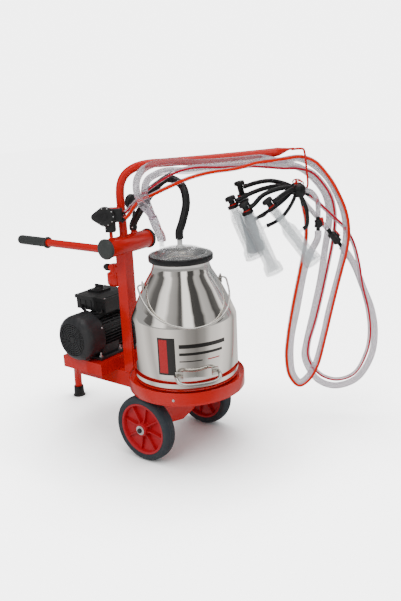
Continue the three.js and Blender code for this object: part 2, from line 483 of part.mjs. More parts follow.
// top and mouth give [along, z] at a cup's two ends; milk and pulse list the points of its tubes.
const CUPS = [
  {
    claw: 0, aside: 45, top: [404, 732], mouth: [484, 540], neck: 10, stem: 27,
    milk: [[450, 36, 786], [495, 28, 802], [535, 24, 806]],
    pulse: [[490, 38, 702], [516, 27, 718], [542, 24, 752]],
  },
  {
    claw: 1, aside: 5, top: [362, 747], mouth: [424, 583], neck: 10, stem: 27,
    milk: [[410, 3, 788], [455, -4, 802], [500, -12, 808], [535, -20, 804]],
    pulse: [[470, -2, 730], [515, -12, 755]],
  },
  {
    claw: 0, aside: 58, top: [482, 745], mouth: [607, 570], neck: 58, stem: 27,
    milk: [[516, 48, 790], [542, 34, 800]],
    pulse: [[588, 56, 725], [580, 44, 760]],
  },
  {
    claw: 1, aside: -66, top: [399, 754], mouth: [435, 591], neck: 10, stem: 58,
    milk: [[440, -59, 816], [485, -44, 822], [530, -30, 812]],
    pulse: [[480, -60, 724], [530, -40, 768]],
  },
];
const CLAW_TUBES = [
  { radius: PULSE_TUBE_RADIUS, route: [[570, 24, 789], [577, 23, 759], [579.9, 22.5, 746.3]] },
  { radius: 8, route: [[575, 24, 797], [604, 26, 790], [623, 28, 764], [627, 28, 733], [627, 28, 711.5]] },
  { radius: PULSE_TUBE_RADIUS, route: [[572, -24, 794], [594.6, -22, 780.8], [605.5, -20.1, 772.4]] },
  { radius: 8, route: [[570, -20, 784], [590, -14, 752], [620, -4, 715], [645, 8, 684], [660.4, 9, 666.9]] },
];

const armMap = (route) => route.map(atArm);
const limbs = [[], []];
CUPS.forEach(({ claw, aside, top, mouth, neck, stem, milk, pulse }, i) => {
  const from = atArm([top[0], aside, top[1]]);
  const axis = atArm([mouth[0], aside, mouth[1]]).sub(from);
  const length = axis.length();
  axis.normalize();
  const along = (t) => from.clone().addScaledVector(axis, t);
  const side = ALONG.clone().addScaledVector(axis, -ALONG.dot(axis)).normalize();
  const belly = neck + 24;
  const shell = ring([[12.6, 0], [17, 0], [neck > 20 ? 14 : 18, neck], [24.5, belly], [23.5, length - 34],
    [30, length - 24], [31, length], [28.6, length], [27.4, length - 23], [21, length - 33], [22, belly],
    [12.6, neck]], 14, axis, from);
  const portAt = along(belly + 26);
  const port = (t) => portAt.clone().addScaledVector(side, t);
  const nipple = rod(port(NIPPLE.inner + 4.5), port(NIPPLE.outer), NIPPLE.radius, 8);
  add(`cup_shell_${i + 1}`, join(shell, nipple), 0xdfe6ea, 0.2, 0);
  const collar = stem > 40 ? [[STEM.radius, -20], [17, -20], [17, -28], [STEM.radius, -28]] : [];
  add(`cup_liner_${i + 1}`, turned([[0, 12], [9.5, 12], [10, length - 30], [14, length + 3.5], [30, length + 3.5],
    [30, length + GAP], [22, length + GAP], [16, length - 34], [12, length - 44], [12, -GAP], [19, -GAP],
    [19, -10], [STEM.radius, -10], ...collar, [STEM.radius, -stem], [0, -stem]], 12, axis, from), ...RUBBER);
  add(`cup_knob_${i + 1}`, turned([[0, -stem - GAP], [17, -stem - GAP], [17, -stem - 11],
    [14, -stem - KNOB_HEIGHT], [0, -stem - KNOB_HEIGHT]], 14, axis, from), ...BLACK);

  const outlet = (t) => along(STEM.portFromTop - stem).addScaledVector(side, STEM.radius + 2 * GAP + t);
  const hub = atArm([CLAW.along - 6, claw === 0 ? CLAW.aside : -CLAW.aside, 796]);
  limbs[claw].push(
    tube([outlet(0), outlet(LEAD), ...armMap(milk), hub], MILK_TUBE_RADIUS, 8, 7),
    tube([port(NIPPLE.outer + 2 * GAP), port(NIPPLE.outer + LEAD), ...armMap(pulse), hub],
      PULSE_TUBE_RADIUS, 6, 7),
  );
});
CLAW_TUBES.forEach(({ radius, route }, i) => {
  limbs[i < 2 ? 0 : 1].push(tube(armMap(route), radius, 8, 5));
});
limbs.forEach((tubes, i) => {
  const at = atArm([CLAW.along, i === 0 ? CLAW.aside : -CLAW.aside, 0]);
  add(`claw_${i + 1}`, join(turned(clawBody, 12, UP, at), ...tubes), ...RUBBER);
});

// Ball valves: the axis runs with the hose; the lever turns about a stem square to it.
const VALVES = [
  { at: [627, 28, 688], axis: vec(0, 0, 1), half: 12, radius: 12, reach: 23, stem: ALONG.clone() },
  {
    at: [684, 9, 636], axis: ALONG.clone().multiplyScalar(0.612).addScaledVector(UP, -0.791), half: 20,
    radius: 14, reach: 38, stem: ALONG.clone().multiplyScalar(0.791).addScaledVector(UP, 0.612),
  },
];
VALVES.forEach(({ at, axis, half: halfLength, radius, reach, stem }, i) => {
  const centre = atArm(at);
  const along = (t) => centre.clone().addScaledVector(axis, t);
  const body = join(rod(along(-halfLength), along(halfLength), radius, 16),
    rod(along(-reach + GAP), along(reach - GAP), 7, 12),
    rod(centre, centre.clone().addScaledVector(stem, radius + 5), 5, 10));
  add(`inline_valve_${i + 1}`, body, ...BLACK);
  const leverAt = centre.clone().addScaledVector(stem, radius + 5 + GAP);
  const frame = new THREE.Matrix4().makeBasis(axis, stem, axis.clone().cross(stem));
  const paddle = new THREE.BoxGeometry(26, 5, 11).translate(i === 0 ? 7 : -7, 3, 0).applyMatrix4(frame);
  add(`valve_lever_${i + 1}`, paddle.translate(leverAt.x, leverAt.y, leverAt.z), 0xd01818, 0.4, 0);
});

parts.traverse((node) => {
  if (node.isMesh) node.geometry.translate(...CENTRE_SHIFT);
});

export default parts;
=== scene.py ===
"""Looks of the wheeled milking machine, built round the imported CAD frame. Metres, +Z up."""
import math
import random

import bpy
from mathutils import Matrix, Quaternion, Vector


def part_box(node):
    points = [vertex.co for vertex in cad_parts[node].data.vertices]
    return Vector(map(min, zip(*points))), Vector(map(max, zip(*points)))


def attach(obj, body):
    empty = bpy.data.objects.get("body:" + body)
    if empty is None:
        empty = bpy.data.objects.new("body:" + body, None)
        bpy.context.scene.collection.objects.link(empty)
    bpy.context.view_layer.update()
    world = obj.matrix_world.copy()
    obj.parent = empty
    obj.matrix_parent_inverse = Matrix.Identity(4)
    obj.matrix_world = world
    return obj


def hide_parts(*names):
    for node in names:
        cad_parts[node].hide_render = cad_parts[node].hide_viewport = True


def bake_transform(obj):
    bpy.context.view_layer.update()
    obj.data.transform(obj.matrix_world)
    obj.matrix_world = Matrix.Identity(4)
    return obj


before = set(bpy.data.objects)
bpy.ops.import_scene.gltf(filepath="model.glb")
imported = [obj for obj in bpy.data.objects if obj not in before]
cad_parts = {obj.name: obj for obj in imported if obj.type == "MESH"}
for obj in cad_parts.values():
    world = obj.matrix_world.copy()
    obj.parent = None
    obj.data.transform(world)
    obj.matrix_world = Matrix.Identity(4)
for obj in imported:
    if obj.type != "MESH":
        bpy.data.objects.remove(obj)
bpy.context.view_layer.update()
random.seed(7)

# ---- places -------------------------------------------------------------------------------
# Lengths below are millimetres from the pail's axis, as in the CAD; at() turns them into the row frame.
PAIL_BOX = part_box("pail_body")
PAIL_AXIS = (PAIL_BOX[0] + PAIL_BOX[1]) / 2
ALONG = Vector((0.609, -0.793, 0.0))
ASIDE = Vector((-0.793, -0.609, 0.0))
EAR = Vector((0.7705, -0.6374, 0.0))
FRONT = Vector((-0.6374, -0.7705, 0.0))
X, Y, Z = Vector((1, 0, 0)), Vector((0, 1, 0)), Vector((0, 0, 1))
MAST_Y = 235


def at(x, y, z):
    return Vector((PAIL_AXIS.x + x / 1000, PAIL_AXIS.y + y / 1000, z / 1000))


def at_arm(p):
    flat = ALONG * p[0] + ASIDE * p[1]
    return at(flat.x, MAST_Y + flat.y, p[2])


def at_pail(across, front, z):
    flat = EAR * across + FRONT * front
    return at(flat.x, flat.y, z)


# ---- camera -------------------------------------------------------------------------------
camera = bpy.data.objects.new("camera", bpy.data.cameras.new("camera"))
bpy.context.scene.collection.objects.link(camera)
look = Vector((0.76223, 0.58458, -0.27797)).normalized()
right = Vector((0.59744, -0.80062, -0.04549))
right = (right - look * right.dot(look)).normalized()
turn = Matrix((right, right.cross(look), -look)).transposed()
camera.matrix_world = Matrix.Translation(at(-1591.66, -1289.19, 1077.16)) @ turn.to_4x4()
camera.data.lens = 41.07
camera.data.sensor_width = 36
camera.data.clip_start = 0.05
camera.data.clip_end = 60
bpy.context.scene.camera = camera


# ---- materials ----------------------------------------------------------------------------
def material(name, base, rough, metal=0.0, vary=0.08, grain=900.0, bump=0.02, coat=0.0, smear=0.0,
             dust=0.0, alpha=1.0, transmission=0.0, ior=1.5, stretch=(1, 1, 1), specular=0.5):
    """A surface with fine grain in its relief and slow changes of tone and roughness."""
    m = bpy.data.materials.new(name)
    m.use_nodes = True
    nt = m.node_tree
    shader = nt.nodes["Principled BSDF"]
    place = nt.nodes.new("ShaderNodeTexCoord")
    scale = nt.nodes.new("ShaderNodeMapping")
    scale.inputs["Scale"].default_value = stretch
    nt.links.new(place.outputs["Object"], scale.inputs["Vector"])

    def noise(size, detail):
        n = nt.nodes.new("ShaderNodeTexNoise")
        n.inputs["Scale"].default_value = size
        n.inputs["Detail"].default_value = detail
        nt.links.new(scale.outputs["Vector"], n.inputs["Vector"])
        return n

    slow, fine = noise(9, 4), noise(grain, 3)
    tone = nt.nodes.new("ShaderNodeMapRange")
    tone.inputs["To Min"].default_value = 1 - vary
    tone.inputs["To Max"].default_value = 1 + vary
    nt.links.new(slow.outputs["Fac"], tone.inputs["Value"])
    tint = nt.nodes.new("ShaderNodeVectorMath")
    tint.operation = "SCALE"
    tint.inputs[0].default_value = base
    nt.links.new(tone.outputs["Result"], tint.inputs["Scale"])
    colour = tint.outputs["Vector"]
    if dust:
        patch = nt.nodes.new("ShaderNodeMapRange")
        patch.inputs["From Min"].default_value = 0.5
        patch.inputs["From Max"].default_value = 0.8
        patch.inputs["To Max"].default_value = dust
        nt.links.new(noise(40, 6).outputs["Fac"], patch.inputs["Value"])
        mix = nt.nodes.new("ShaderNodeMix")
        mix.data_type = "RGBA"
        mix.inputs["B"].default_value = (0.35, 0.33, 0.30, 1)
        nt.links.new(patch.outputs["Result"], mix.inputs["Factor"])
        nt.links.new(colour, mix.inputs["A"])
        colour = mix.outputs["Result"]
    nt.links.new(colour, shader.inputs["Base Color"])
    gloss = nt.nodes.new("ShaderNodeMapRange")
    gloss.inputs["To Min"].default_value = max(0.02, rough - smear)
    gloss.inputs["To Max"].default_value = rough + smear + 0.03
    nt.links.new(noise(28, 5).outputs["Fac"], gloss.inputs["Value"])
    nt.links.new(gloss.outputs["Result"], shader.inputs["Roughness"])
    relief = nt.nodes.new("ShaderNodeBump")
    relief.inputs["Strength"].default_value = bump
    relief.inputs["Distance"].default_value = 0.001
    nt.links.new(fine.outputs["Fac"], relief.inputs["Height"])
    nt.links.new(relief.outputs["Normal"], shader.inputs["Normal"])
    shader.inputs["Metallic"].default_value = metal
    shader.inputs["Coat Weight"].default_value = coat
    shader.inputs["Coat Roughness"].default_value = 0.08
    shader.inputs["Alpha"].default_value = alpha
    shader.inputs["Transmission Weight"].default_value = transmission
    shader.inputs["IOR"].default_value = ior
    shader.inputs["Specular IOR Level"].default_value = specular
    return m


def striped(m, colour, centre, half_width):
    """Adds a coloured line along a hose to its material, by its place round the section."""
    nt = m.node_tree
    shader = nt.nodes["Principled BSDF"]
    old = shader.inputs["Base Color"].links[0].from_socket
    uv = nt.nodes.new("ShaderNodeUVMap")
    uv.uv_map = "round"
    split = nt.nodes.new("ShaderNodeSeparateXYZ")
    nt.links.new(uv.outputs["UV"], split.inputs["Vector"])
    band = nt.nodes.new("ShaderNodeMath")
    band.operation = "COMPARE"
    band.inputs[1].default_value = centre
    band.inputs[2].default_value = half_width
    nt.links.new(split.outputs["X"], band.inputs[0])
    mix = nt.nodes.new("ShaderNodeMix")
    mix.data_type = "RGBA"
    mix.inputs["B"].default_value = (*colour, 1)
    nt.links.new(band.outputs["Value"], mix.inputs["Factor"])
    nt.links.new(old, mix.inputs["A"])
    nt.links.new(mix.outputs["Result"], shader.inputs["Base Color"])
    solid = nt.nodes.new("ShaderNodeMapRange")
    solid.inputs["To Min"].default_value = shader.inputs["Alpha"].default_value
    nt.links.new(band.outputs["Value"], solid.inputs["Value"])
    nt.links.new(solid.outputs["Result"], shader.inputs["Alpha"])
    through = nt.nodes.new("ShaderNodeMapRange")
    through.inputs["To Min"].default_value = shader.inputs["Transmission Weight"].default_value
    through.inputs["To Max"].default_value = 0
    nt.links.new(band.outputs["Value"], through.inputs["Value"])
    nt.links.new(through.outputs["Result"], shader.inputs["Transmission Weight"])
    return m


RED = material("red_paint", (0.72, 0.006, 0.001), 0.20, vary=0.05, grain=1400, bump=0.03, coat=0.25, smear=0.04,
               dust=0.02, specular=0.35)
RIM_RED = material("rim_plastic", (0.55, 0.012, 0.022), 0.36, vary=0.06, grain=1800, bump=0.05, smear=0.05,
                   dust=0.04, specular=0.35)
TYRE = material("tyre_rubber", (0.030, 0.040, 0.050), 0.55, vary=0.15, grain=1200, bump=0.12, smear=0.08,
                dust=0.06, specular=0.35)
RUBBER = material("black_rubber", (0.006, 0.006, 0.007), 0.28, vary=0.15, grain=1600, bump=0.08, smear=0.08,
                  dust=0.02, specular=0.45)
PLASTIC = material("black_plastic", (0.015, 0.015, 0.016), 0.34, vary=0.12, grain=2200, bump=0.12, smear=0.06,
                   dust=0.03, specular=0.4)
CAP_RUBBER = material("cap_rubber", (0.050, 0.056, 0.054), 0.50, vary=0.15, grain=700, bump=0.25, smear=0.06,
                      dust=0.05, specular=0.4)
MOTOR = material("motor_paint", (0.024, 0.025, 0.028), 0.36, vary=0.12, grain=900, bump=0.15, smear=0.06,
                 dust=0.04, specular=0.45)
STEEL = material("pail_steel", (0.93, 0.90, 0.855), 0.045, metal=1.0, vary=0.03, grain=260, bump=0.01,
                 smear=0.03, stretch=(1, 1, 0.06))
WIRE = material("bright_wire", (0.74, 0.72, 0.68), 0.16, metal=1.0, vary=0.06, grain=700, bump=0.03, smear=0.06)
ZINC = material("zinc_steel", (0.70, 0.71, 0.72), 0.30, metal=1.0, vary=0.10, grain=600, bump=0.06, smear=0.10)
IRON = material("pump_iron", (0.30, 0.31, 0.32), 0.45, metal=0.9, vary=0.14, grain=500, bump=0.20, smear=0.08,
                dust=0.06)
CLEAR = material("clear_plastic", (0.90, 0.96, 0.99), 0.06, vary=0.03, grain=300, bump=0.01, smear=0.03,
                 alpha=0.26, transmission=0.3, ior=1.2, coat=0.4)
SILICONE = material("silicone", (0.86, 0.93, 0.96), 0.28, vary=0.04, grain=300, bump=0.02, smear=0.05, alpha=0.24,
                    transmission=0.1)
DOME = material("lid_plastic", (0.80, 0.82, 0.83), 0.05, vary=0.04, grain=200, bump=0.01, smear=0.03, alpha=0.34,
                transmission=0.7, ior=1.15, coat=0.5)
MILK = material("milk_hose", (0.93, 0.84, 0.92), 0.08, vary=0.05, grain=120, bump=0.004, smear=0.04, alpha=0.8,
                transmission=0.9, ior=1.22, coat=0.3)
PULSE_1 = striped(material("pulse_hose_orange", (0.93, 0.84, 0.88), 0.10, vary=0.05, grain=500, bump=0.03,
                           smear=0.04, alpha=0.8, transmission=0.9, ior=1.22), (0.85, 0.015, 0.0), 0.24, 0.11)
PULSE_2 = striped(material("pulse_hose_red", (0.93, 0.78, 0.84), 0.10, vary=0.05, grain=500, bump=0.03,
                           smear=0.04, alpha=0.8, transmission=0.9, ior=1.22), (0.62, 0.006, 0.03), 0.30, 0.08)
LEVER = material("lever_plastic", (0.72, 0.006, 0.006), 0.25, vary=0.06, grain=1500, bump=0.03, smear=0.04, coat=0.3)
LABEL_DARK = material("label_dark", (0.012, 0.010, 0.010), 0.30, vary=0.10, grain=700, bump=0.02, smear=0.05)
LABEL_RED = material("label_red", (0.55, 0.006, 0.012), 0.30, vary=0.08, grain=700, bump=0.02, smear=0.05)
DIAL = material("dial_white", (0.80, 0.80, 0.78), 0.35, vary=0.04, grain=900, bump=0.02, smear=0.04)


# ---- mesh helpers -------------------------------------------------------------------------
def finish_mesh(name, verts, faces, mat, sharp=35, body="frame", stands_for=(), slot=None, uv=None):
    mesh = bpy.data.meshes.new(name)
    mesh.from_pydata([tuple(v) for v in verts], [], faces)
    mesh.validate()
    if uv:
        layer = mesh.uv_layers.new(name="round")
        for loop in mesh.loops:
            layer.data[loop.index].uv = uv[loop.vertex_index]
    mesh.polygons.foreach_set("use_smooth", [True] * len(mesh.polygons))
    mesh.set_sharp_from_angle(angle=math.radians(sharp))
    mesh.materials.append(mat)
    obj = bpy.data.objects.new(name, mesh)
    bpy.context.scene.collection.objects.link(obj)
    if body:
        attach(obj, body)
    if stands_for:
        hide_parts(*stands_for)
    return obj


def facing(direction):
    """The turn that takes +Z to a direction, with no roll about it."""
    return Z.rotation_difference(Vector(direction).normalized())


def lathe(name, profile, origin, direction, mat, segments=96, closed=False, **kw):
    """Profile points are [radius, height] in millimetres along a direction from an origin."""
    spin = facing(direction)
    verts, faces, rows = [], [], []
    for r, t in profile:
        if r < 1e-6:
            rows.append([len(verts)])
            verts.append(origin + spin @ Vector((0, 0, t / 1000)))
            continue
        rows.append(list(range(len(verts), len(verts) + segments)))
        for i in range(segments):
            a = 2 * math.pi * i / segments
            verts.append(origin + spin @ (Vector((r * math.cos(a), r * math.sin(a), t)) / 1000))
    pairs = list(zip(rows, rows[1:]))
    if closed:
        pairs.append((rows[-1], rows[0]))
    for lower, upper in pairs:
        for i in range(segments):
            j = (i + 1) % segments
            ring = [lower[i % len(lower)], lower[j % len(lower)], upper[j % len(upper)], upper[i % len(upper)]]
            face = list(dict.fromkeys(ring))
            if len(face) > 2:
                faces.append(face)
    return finish_mesh(name, verts, faces, mat, **kw)


def catmull(points, steps):
    """Points along the centripetal curve through the route, evenly spaced by length."""
    pts = [Vector(p) for p in points]
    pts = [pts[0] * 2 - pts[1], *pts, pts[-1] * 2 - pts[-2]]
    dense = []
    for p0, p1, p2, p3 in zip(pts, pts[1:], pts[2:], pts[3:]):
        d0, d1, d2 = ((b - a).length ** 0.5 for a, b in ((p0, p1), (p1, p2), (p2, p3)))
        m1 = ((p1 - p0) / d0 - (p2 - p0) / (d0 + d1) + (p2 - p1) / d1) * d1
        m2 = ((p2 - p1) / d1 - (p3 - p1) / (d1 + d2) + (p3 - p2) / d2) * d1
        for k in range(24):
            t = k / 24
            dense.append(p1 * (2 * t**3 - 3 * t**2 + 1) + m1 * (t**3 - 2 * t**2 + t)
                         + p2 * (-2 * t**3 + 3 * t**2) + m2 * (t**3 - t**2))
    dense.append(pts[-2])
    gone = [0.0]
    for a, b in zip(dense, dense[1:]):
        gone.append(gone[-1] + (b - a).length)
    even, k = [], 0
    for i in range(steps + 1):
        want = gone[-1] * i / steps
        while k < len(gone) - 2 and gone[k + 1] < want:
            k += 1
        share = (want - gone[k]) / max(gone[k + 1] - gone[k], 1e-9)
        even.append(dense[k].lerp(dense[k + 1], share))
    return even, gone[-1]


def tube(name, points, radius, mat, steps=60, sides=24, facing_out=None, caps=True, **kw):
    """A round bar along a route. A quarter of the way round, its section points along facing_out."""
    line, length = catmull(points, steps)
    tangent = (line[1] - line[0]).normalized()
    side = tangent.orthogonal().normalized()
    verts, uv, faces = [], [], []
    for i, p in enumerate(line):
        ahead = (line[min(i + 1, steps)] - line[max(i - 1, 0)]).normalized()
        side = (tangent.rotation_difference(ahead) @ side).normalized()
        tangent = ahead
        if facing_out:
            side = facing_out.cross(tangent).normalized()
        r = (radius(i / steps) if callable(radius) else radius) / 1000
        up = tangent.cross(side)
        for j in range(sides):
            a = 2 * math.pi * j / sides
            verts.append(p + (side * math.cos(a) + up * math.sin(a)) * r)
            uv.append((j / sides, i / steps))
    for i in range(steps):
        for j in range(sides):
            k = (j + 1) % sides
            faces.append([i * sides + j, i * sides + k, (i + 1) * sides + k, (i + 1) * sides + j])
    if caps:
        faces.append(list(range(sides))[::-1])
        faces.append([steps * sides + j for j in range(sides)])
    obj = finish_mesh(name, verts, faces, mat, uv=uv, **kw)
    return obj, line, length


def slab(name, outline, direction, origin, across, depth, mat, bevel=0.0, segments=3, **kw):
    """A flat plate: outline in [across, up] millimetres, pushed along a direction by its depth."""
    n = Vector(direction).normalized()
    u = Vector(across).normalized()
    v = n.cross(u)
    count = len(outline)
    verts = [origin + (u * a + v * b) / 1000 + n * (d / 1000) for d in (0, depth) for a, b in outline]
    faces = [list(range(count))[::-1], list(range(count, 2 * count))]
    faces += [[i, (i + 1) % count, count + (i + 1) % count, count + i] for i in range(count)]
    obj = finish_mesh(name, verts, faces, mat, **kw)
    if bevel:
        soften(obj, bevel, segments)
    return obj


def block(name, lo, hi, mat, bevel=1.0, segments=3, **kw):
    (x0, y0, z0), (x1, y1, z1) = lo, hi
    outline = [(x0, y0), (x1, y0), (x1, y1), (x0, y1)]
    return slab(name, outline, Z, at(0, 0, z0), X, z1 - z0, mat, bevel, segments, **kw)


def soften(obj, width, segments=3):
    m = obj.modifiers.new("edge", "BEVEL")
    m.width = width / 1000
    m.segments = segments
    m.limit_method = "ANGLE"
    m.angle_limit = math.radians(40)
    m.harden_normals = True


def hexagon(radius):
    return [(radius * math.cos(math.pi * k / 3), radius * math.sin(math.pi * k / 3)) for k in range(6)]


def bolt(name, origin, direction, size=6.0, body="frame", washer=True, mat=None):
    """A hexagon head on a washer, sitting on a surface and facing a direction."""
    mat = mat or ZINC
    n = Vector(direction).normalized()
    lift = 1.2 if washer else 0
    if washer:
        lathe(f"{name}_washer", [(0, 0), (size * 1.15, 0), (size * 1.15, 1.2), (0, 1.2)], origin, n, mat, 32,
              body=body)
    slab(f"{name}_head", hexagon(size), n, origin + n * (lift / 1000), n.orthogonal(), size * 0.65, mat, 0.5, 2,
         body=body)


def dome_screw(name, origin, direction, size, mat, body="frame"):
    lathe(name, [(0, size * 0.55), (size * 0.5, size * 0.48), (size * 0.9, size * 0.2), (size, 0), (0, 0)],
          origin, direction, mat, 20, body=body)


def keep(node, mat, bevel=1.2, segments=3):
    """Shows a flat-sided CAD node as it is, with softened edges and its own surface."""
    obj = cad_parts[node]
    obj.data.materials.clear()
    obj.data.materials.append(mat)
    soften(obj, bevel, segments)
    return obj


# ---- chassis, mast, tray, carrier ---------------------------------------------------------
keep("chassis", RED, 1.4)
keep("mast", RED, 3.4, 4)
keep("axle_carrier", RED, 0.9)
keep("terminal_box", PLASTIC, 2.2, 4)

lathe("tray_pan", [(0, 243), (181, 243), (181, 214.5), (182, 213), (183.5, 213), (184.5, 214.5), (184.5, 252.5),
                   (183.5, 254), (182, 254), (181, 252.5), (181, 247), (179, 246), (0, 246)],
      at(0, 0, 0), Z, RED, 160, stands_for=["tray"], slot="red_paint")
for k, a in enumerate((205, 330, 90)):
    out = Vector((math.cos(math.radians(a)), math.sin(math.radians(a)), 0))
    dome_screw(f"tray_rivet_{k}", at(0, 0, 232) + out * 0.1845, out, 4.5, ZINC)


def weld(name, points, radius=2.2, mat=RED):
    """A run of overlapping beads along a joint."""
    line, length = catmull(points, 200)
    wave = lambda s: radius * (0.85 + 0.15 * math.sin(s * length * 1000 * 2.1))
    tube(name, points, wave, mat, steps=max(24, int(length * 500)), sides=10)


weld("weld_mast_front", [at(-20, 214.5, 206), at(0, 214.5, 206), at(20, 214.5, 206)])
weld("weld_mast_left", [at(-20.5, 215, 206), at(-20.5, 235, 206), at(-20.5, 255, 206)])
weld("weld_mast_rear", [at(-20, 255.5, 206), at(0, 255.5, 206), at(20, 255.5, 206)])
for side in (-1, 1):
    weld(f"weld_carrier_{side + 1}", [at(-110, 53 + side * 26.5, 241.5), at(0, 53 + side * 26.5, 241.5),
                                      at(110, 53 + side * 26.5, 241.5)])
    for k, x in enumerate((-70, 70)):
        # Painted shade: thin near-black discs on the carrier's sides stand in for the dark insides of its holes.
        lathe(f"carrier_hole_shade_{side + 1}_{k}", [(0, 0), (7, 0), (7, 0.25), (5.5, 0.3), (0, 0.3)],
              at(x, 53 + side * 26, 190), Vector((0, side, 0)), PLASTIC, 32)

leg_route = [at(0, 480.3, 178), at(9, 506, 176), at(45, 566, 148), at(71, 598, 100), at(78.5, 608, 66),
             at(79, 609, 46), at(79, 609, 12.3)]
tube("stand_leg_tube", leg_route, 14, RED, 70, 40, stands_for=["stand_leg"], slot="red_paint")
weld("weld_leg", [at(-13, 481, 170), at(-11, 481, 188), at(0, 481, 191.5), at(11, 481, 188), at(13, 481, 170)])
lathe("leg_shoe", [(14.6, 12), (14.6, 39), (15.6, 40), (17.6, 40), (18.5, 38.5), (19, 24), (19.5, 10), (20.5, 6),
                   (22.6, 4.5), (23, 3), (23, 0.8), (22, 0), (9, 0), (8, 1), (8, 12)],
      at(79, 609, 0), Z, RUBBER, 72, closed=True, stands_for=["leg_foot"], slot="black_rubber")
for k, (x, y) in enumerate(((-62, 398), (-20, 440))):
    lathe(f"plate_stud_{k}", [(0, 0), (4, 0), (4, 38), (0, 38)], at(x, y, 209), Z, PLASTIC, 24)
    lathe(f"plate_buffer_{k}", [(0, 0), (9, 0), (10, 2), (10, 12), (9, 14), (0, 14)], at(x, y, 222), Z, RUBBER, 40)

# ---- wheels and axle ----------------------------------------------------------------------
lathe("axle_bar", [(0, -179), (8, -179), (8, -126), (12, -126), (12, -115), (8, -115), (8, 115), (12, 115),
                   (12, 126), (8, 126), (8, 179), (0, 179)],
      at(0, 53, 106), X, ZINC, 48, stands_for=["axle"], slot="zinc_steel")
for side in (-1, 1):
    out = X * side
    lathe(f"axle_washer_{side + 1}", [(0, 0), (15, 0), (15, 2), (14.4, 2.4), (0, 2.4)], at(side * 179.4, 53, 106),
          out, ZINC, 48)
    lathe(f"axle_nut_{side + 1}", [(0, 0), (8, 0), (8, 4.5), (6.4, 5.5), (0, 5.5)], at(side * 181.8, 53, 106),
          out, PLASTIC, 40)

RIM_PROFILE = [(8.4, -26), (18.6, -26), (19.8, -25), (20, -24), (20.6, -4), (22, -3), (73, -3), (75.4, -4.5),
               (76.3, -7), (77, -18), (78, -19.4), (79.4, -20), (83, -20), (84, -19), (84, 19), (83, 20),
               (79.4, 20), (78, 19.4), (77, 18), (76.3, 7), (75.4, 4.5), (73, 3), (22, 3), (20.6, 4), (20, 24),
               (19.8, 25), (18.6, 26), (8.4, 26)]
TYRE_PROFILE = [(84.2, -19.5), (86, -20.6), (88, -21), (89, -20.6), (90, -21.2), (95, -22.4), (96.5, -22.1),
                (97.5, -22.2), (101, -19.8), (103, -17), (104.2, -14), (104.8, -11.6), (104.2, -11), (104.2, -10),
                (105.4, -9.4), (105.8, -6), (106, -4), (105.2, -3.6), (105.2, -2.6), (106, -2.2), (106, 0)]
TYRE_PROFILE += [(r, -t) for r, t in TYRE_PROFILE[-2::-1]]
for name, side in (("left", -1), ("right", 1)):
    body = f"wheel_{name}"
    hub = at(side * 153, 53, 106)
    lathe(f"wheel_rim_{name}", RIM_PROFILE, hub, X, RIM_RED, 128, closed=True, body=body,
          stands_for=[f"rim_{name}"], slot="rim_plastic")
    lathe(f"wheel_tyre_{name}", TYRE_PROFILE, hub, X, TYRE, 128, closed=True, body=body,
          stands_for=[f"tyre_{name}"], slot="tyre_rubber")
    for k in range(8):
        a = math.radians(45 * k + 12)
        ray = Vector((0, math.cos(a), math.sin(a)))
        for face in (-1, 1):
            outline = [(19, 2.5), (76.5, 2.5), (76.5, 11), (70, 12.5), (30, 14), (19, 18)]
            start = hub - ray.cross(X) * 0.0014
            ends = [(r, t * face) for r, t in outline]
            n = ray.cross(X)
            verts = [hub + ray * (r / 1000) + X * (t / 1000) + n * w for w in (-0.0016, 0.0016) for r, t in ends]
            count = len(ends)
            faces = [list(range(count))[::-1], list(range(count, 2 * count))]
            faces += [[i, (i + 1) % count, count + (i + 1) % count, count + i] for i in range(count)]
            rib = finish_mesh(f"rim_rib_{name}_{k}_{face + 1}", verts, faces, RIM_RED, body=body)
            soften(rib, 0.8, 2)

# ---- tank, handle, arm --------------------------------------------------------------------
TANK_Z = 644
lathe("tank_tube", [(27.5, -83), (28.5, -84), (29.5, -84), (30, -83), (30, 121), (29.5, 122), (28.5, 122),
                    (27.5, 121)], at(0, MAST_Y, TANK_Z), X, RED, 96, closed=True, stands_for=["vacuum_tank"],
      slot="red_paint")
for name, x, r, top in (("pulsator", -53, 6, 695), ("hose", 52, 9, 684), ("gauge", 74, 6, 686)):
    y = 248 if name == "gauge" else MAST_Y
    base = at(x, y, 668)
    lathe(f"nipple_{name}", [(0, 0), (r + 3, 0), (r + 2.6, 6.5), (r + 0.6, 8.5), (r, 10), (r, top - 669),
                             (r - 0.8, top - 668), (0, top - 668)], base, Z, RED, 48)
for name, x, out in (("left", -84, -1), ("right", 122, 1)):
    lathe(f"tank_end_{name}", [(0, 8.7), (12, 8.6), (22, 7.8), (28, 6), (31.5, 3.6), (33.2, 0.8), (33.5, -1.6),
                               (33.3, -5), (32.6, -7), (30.3, -7), (30.3, 0.3), (0, 0.3)],
          at(x, MAST_Y, TANK_Z), X * out, CAP_RUBBER, 96, stands_for=[f"tank_cap_{name}"], slot="black_rubber")
weld("weld_tank_mast", [at(-20.3, 217, 621), at(-20.3, 226, 617), at(-20.3, 235, 615.5), at(-20.3, 244, 617),
                        at(-20.3, 253, 621)])
weld("weld_arm", [at_arm([3 + 14 * math.cos(a), 14 * math.sin(a), 674.5 - 3.4 * abs(math.sin(a + 0.65))])
                  for a in [math.radians(24 * k) for k in range(16)]])

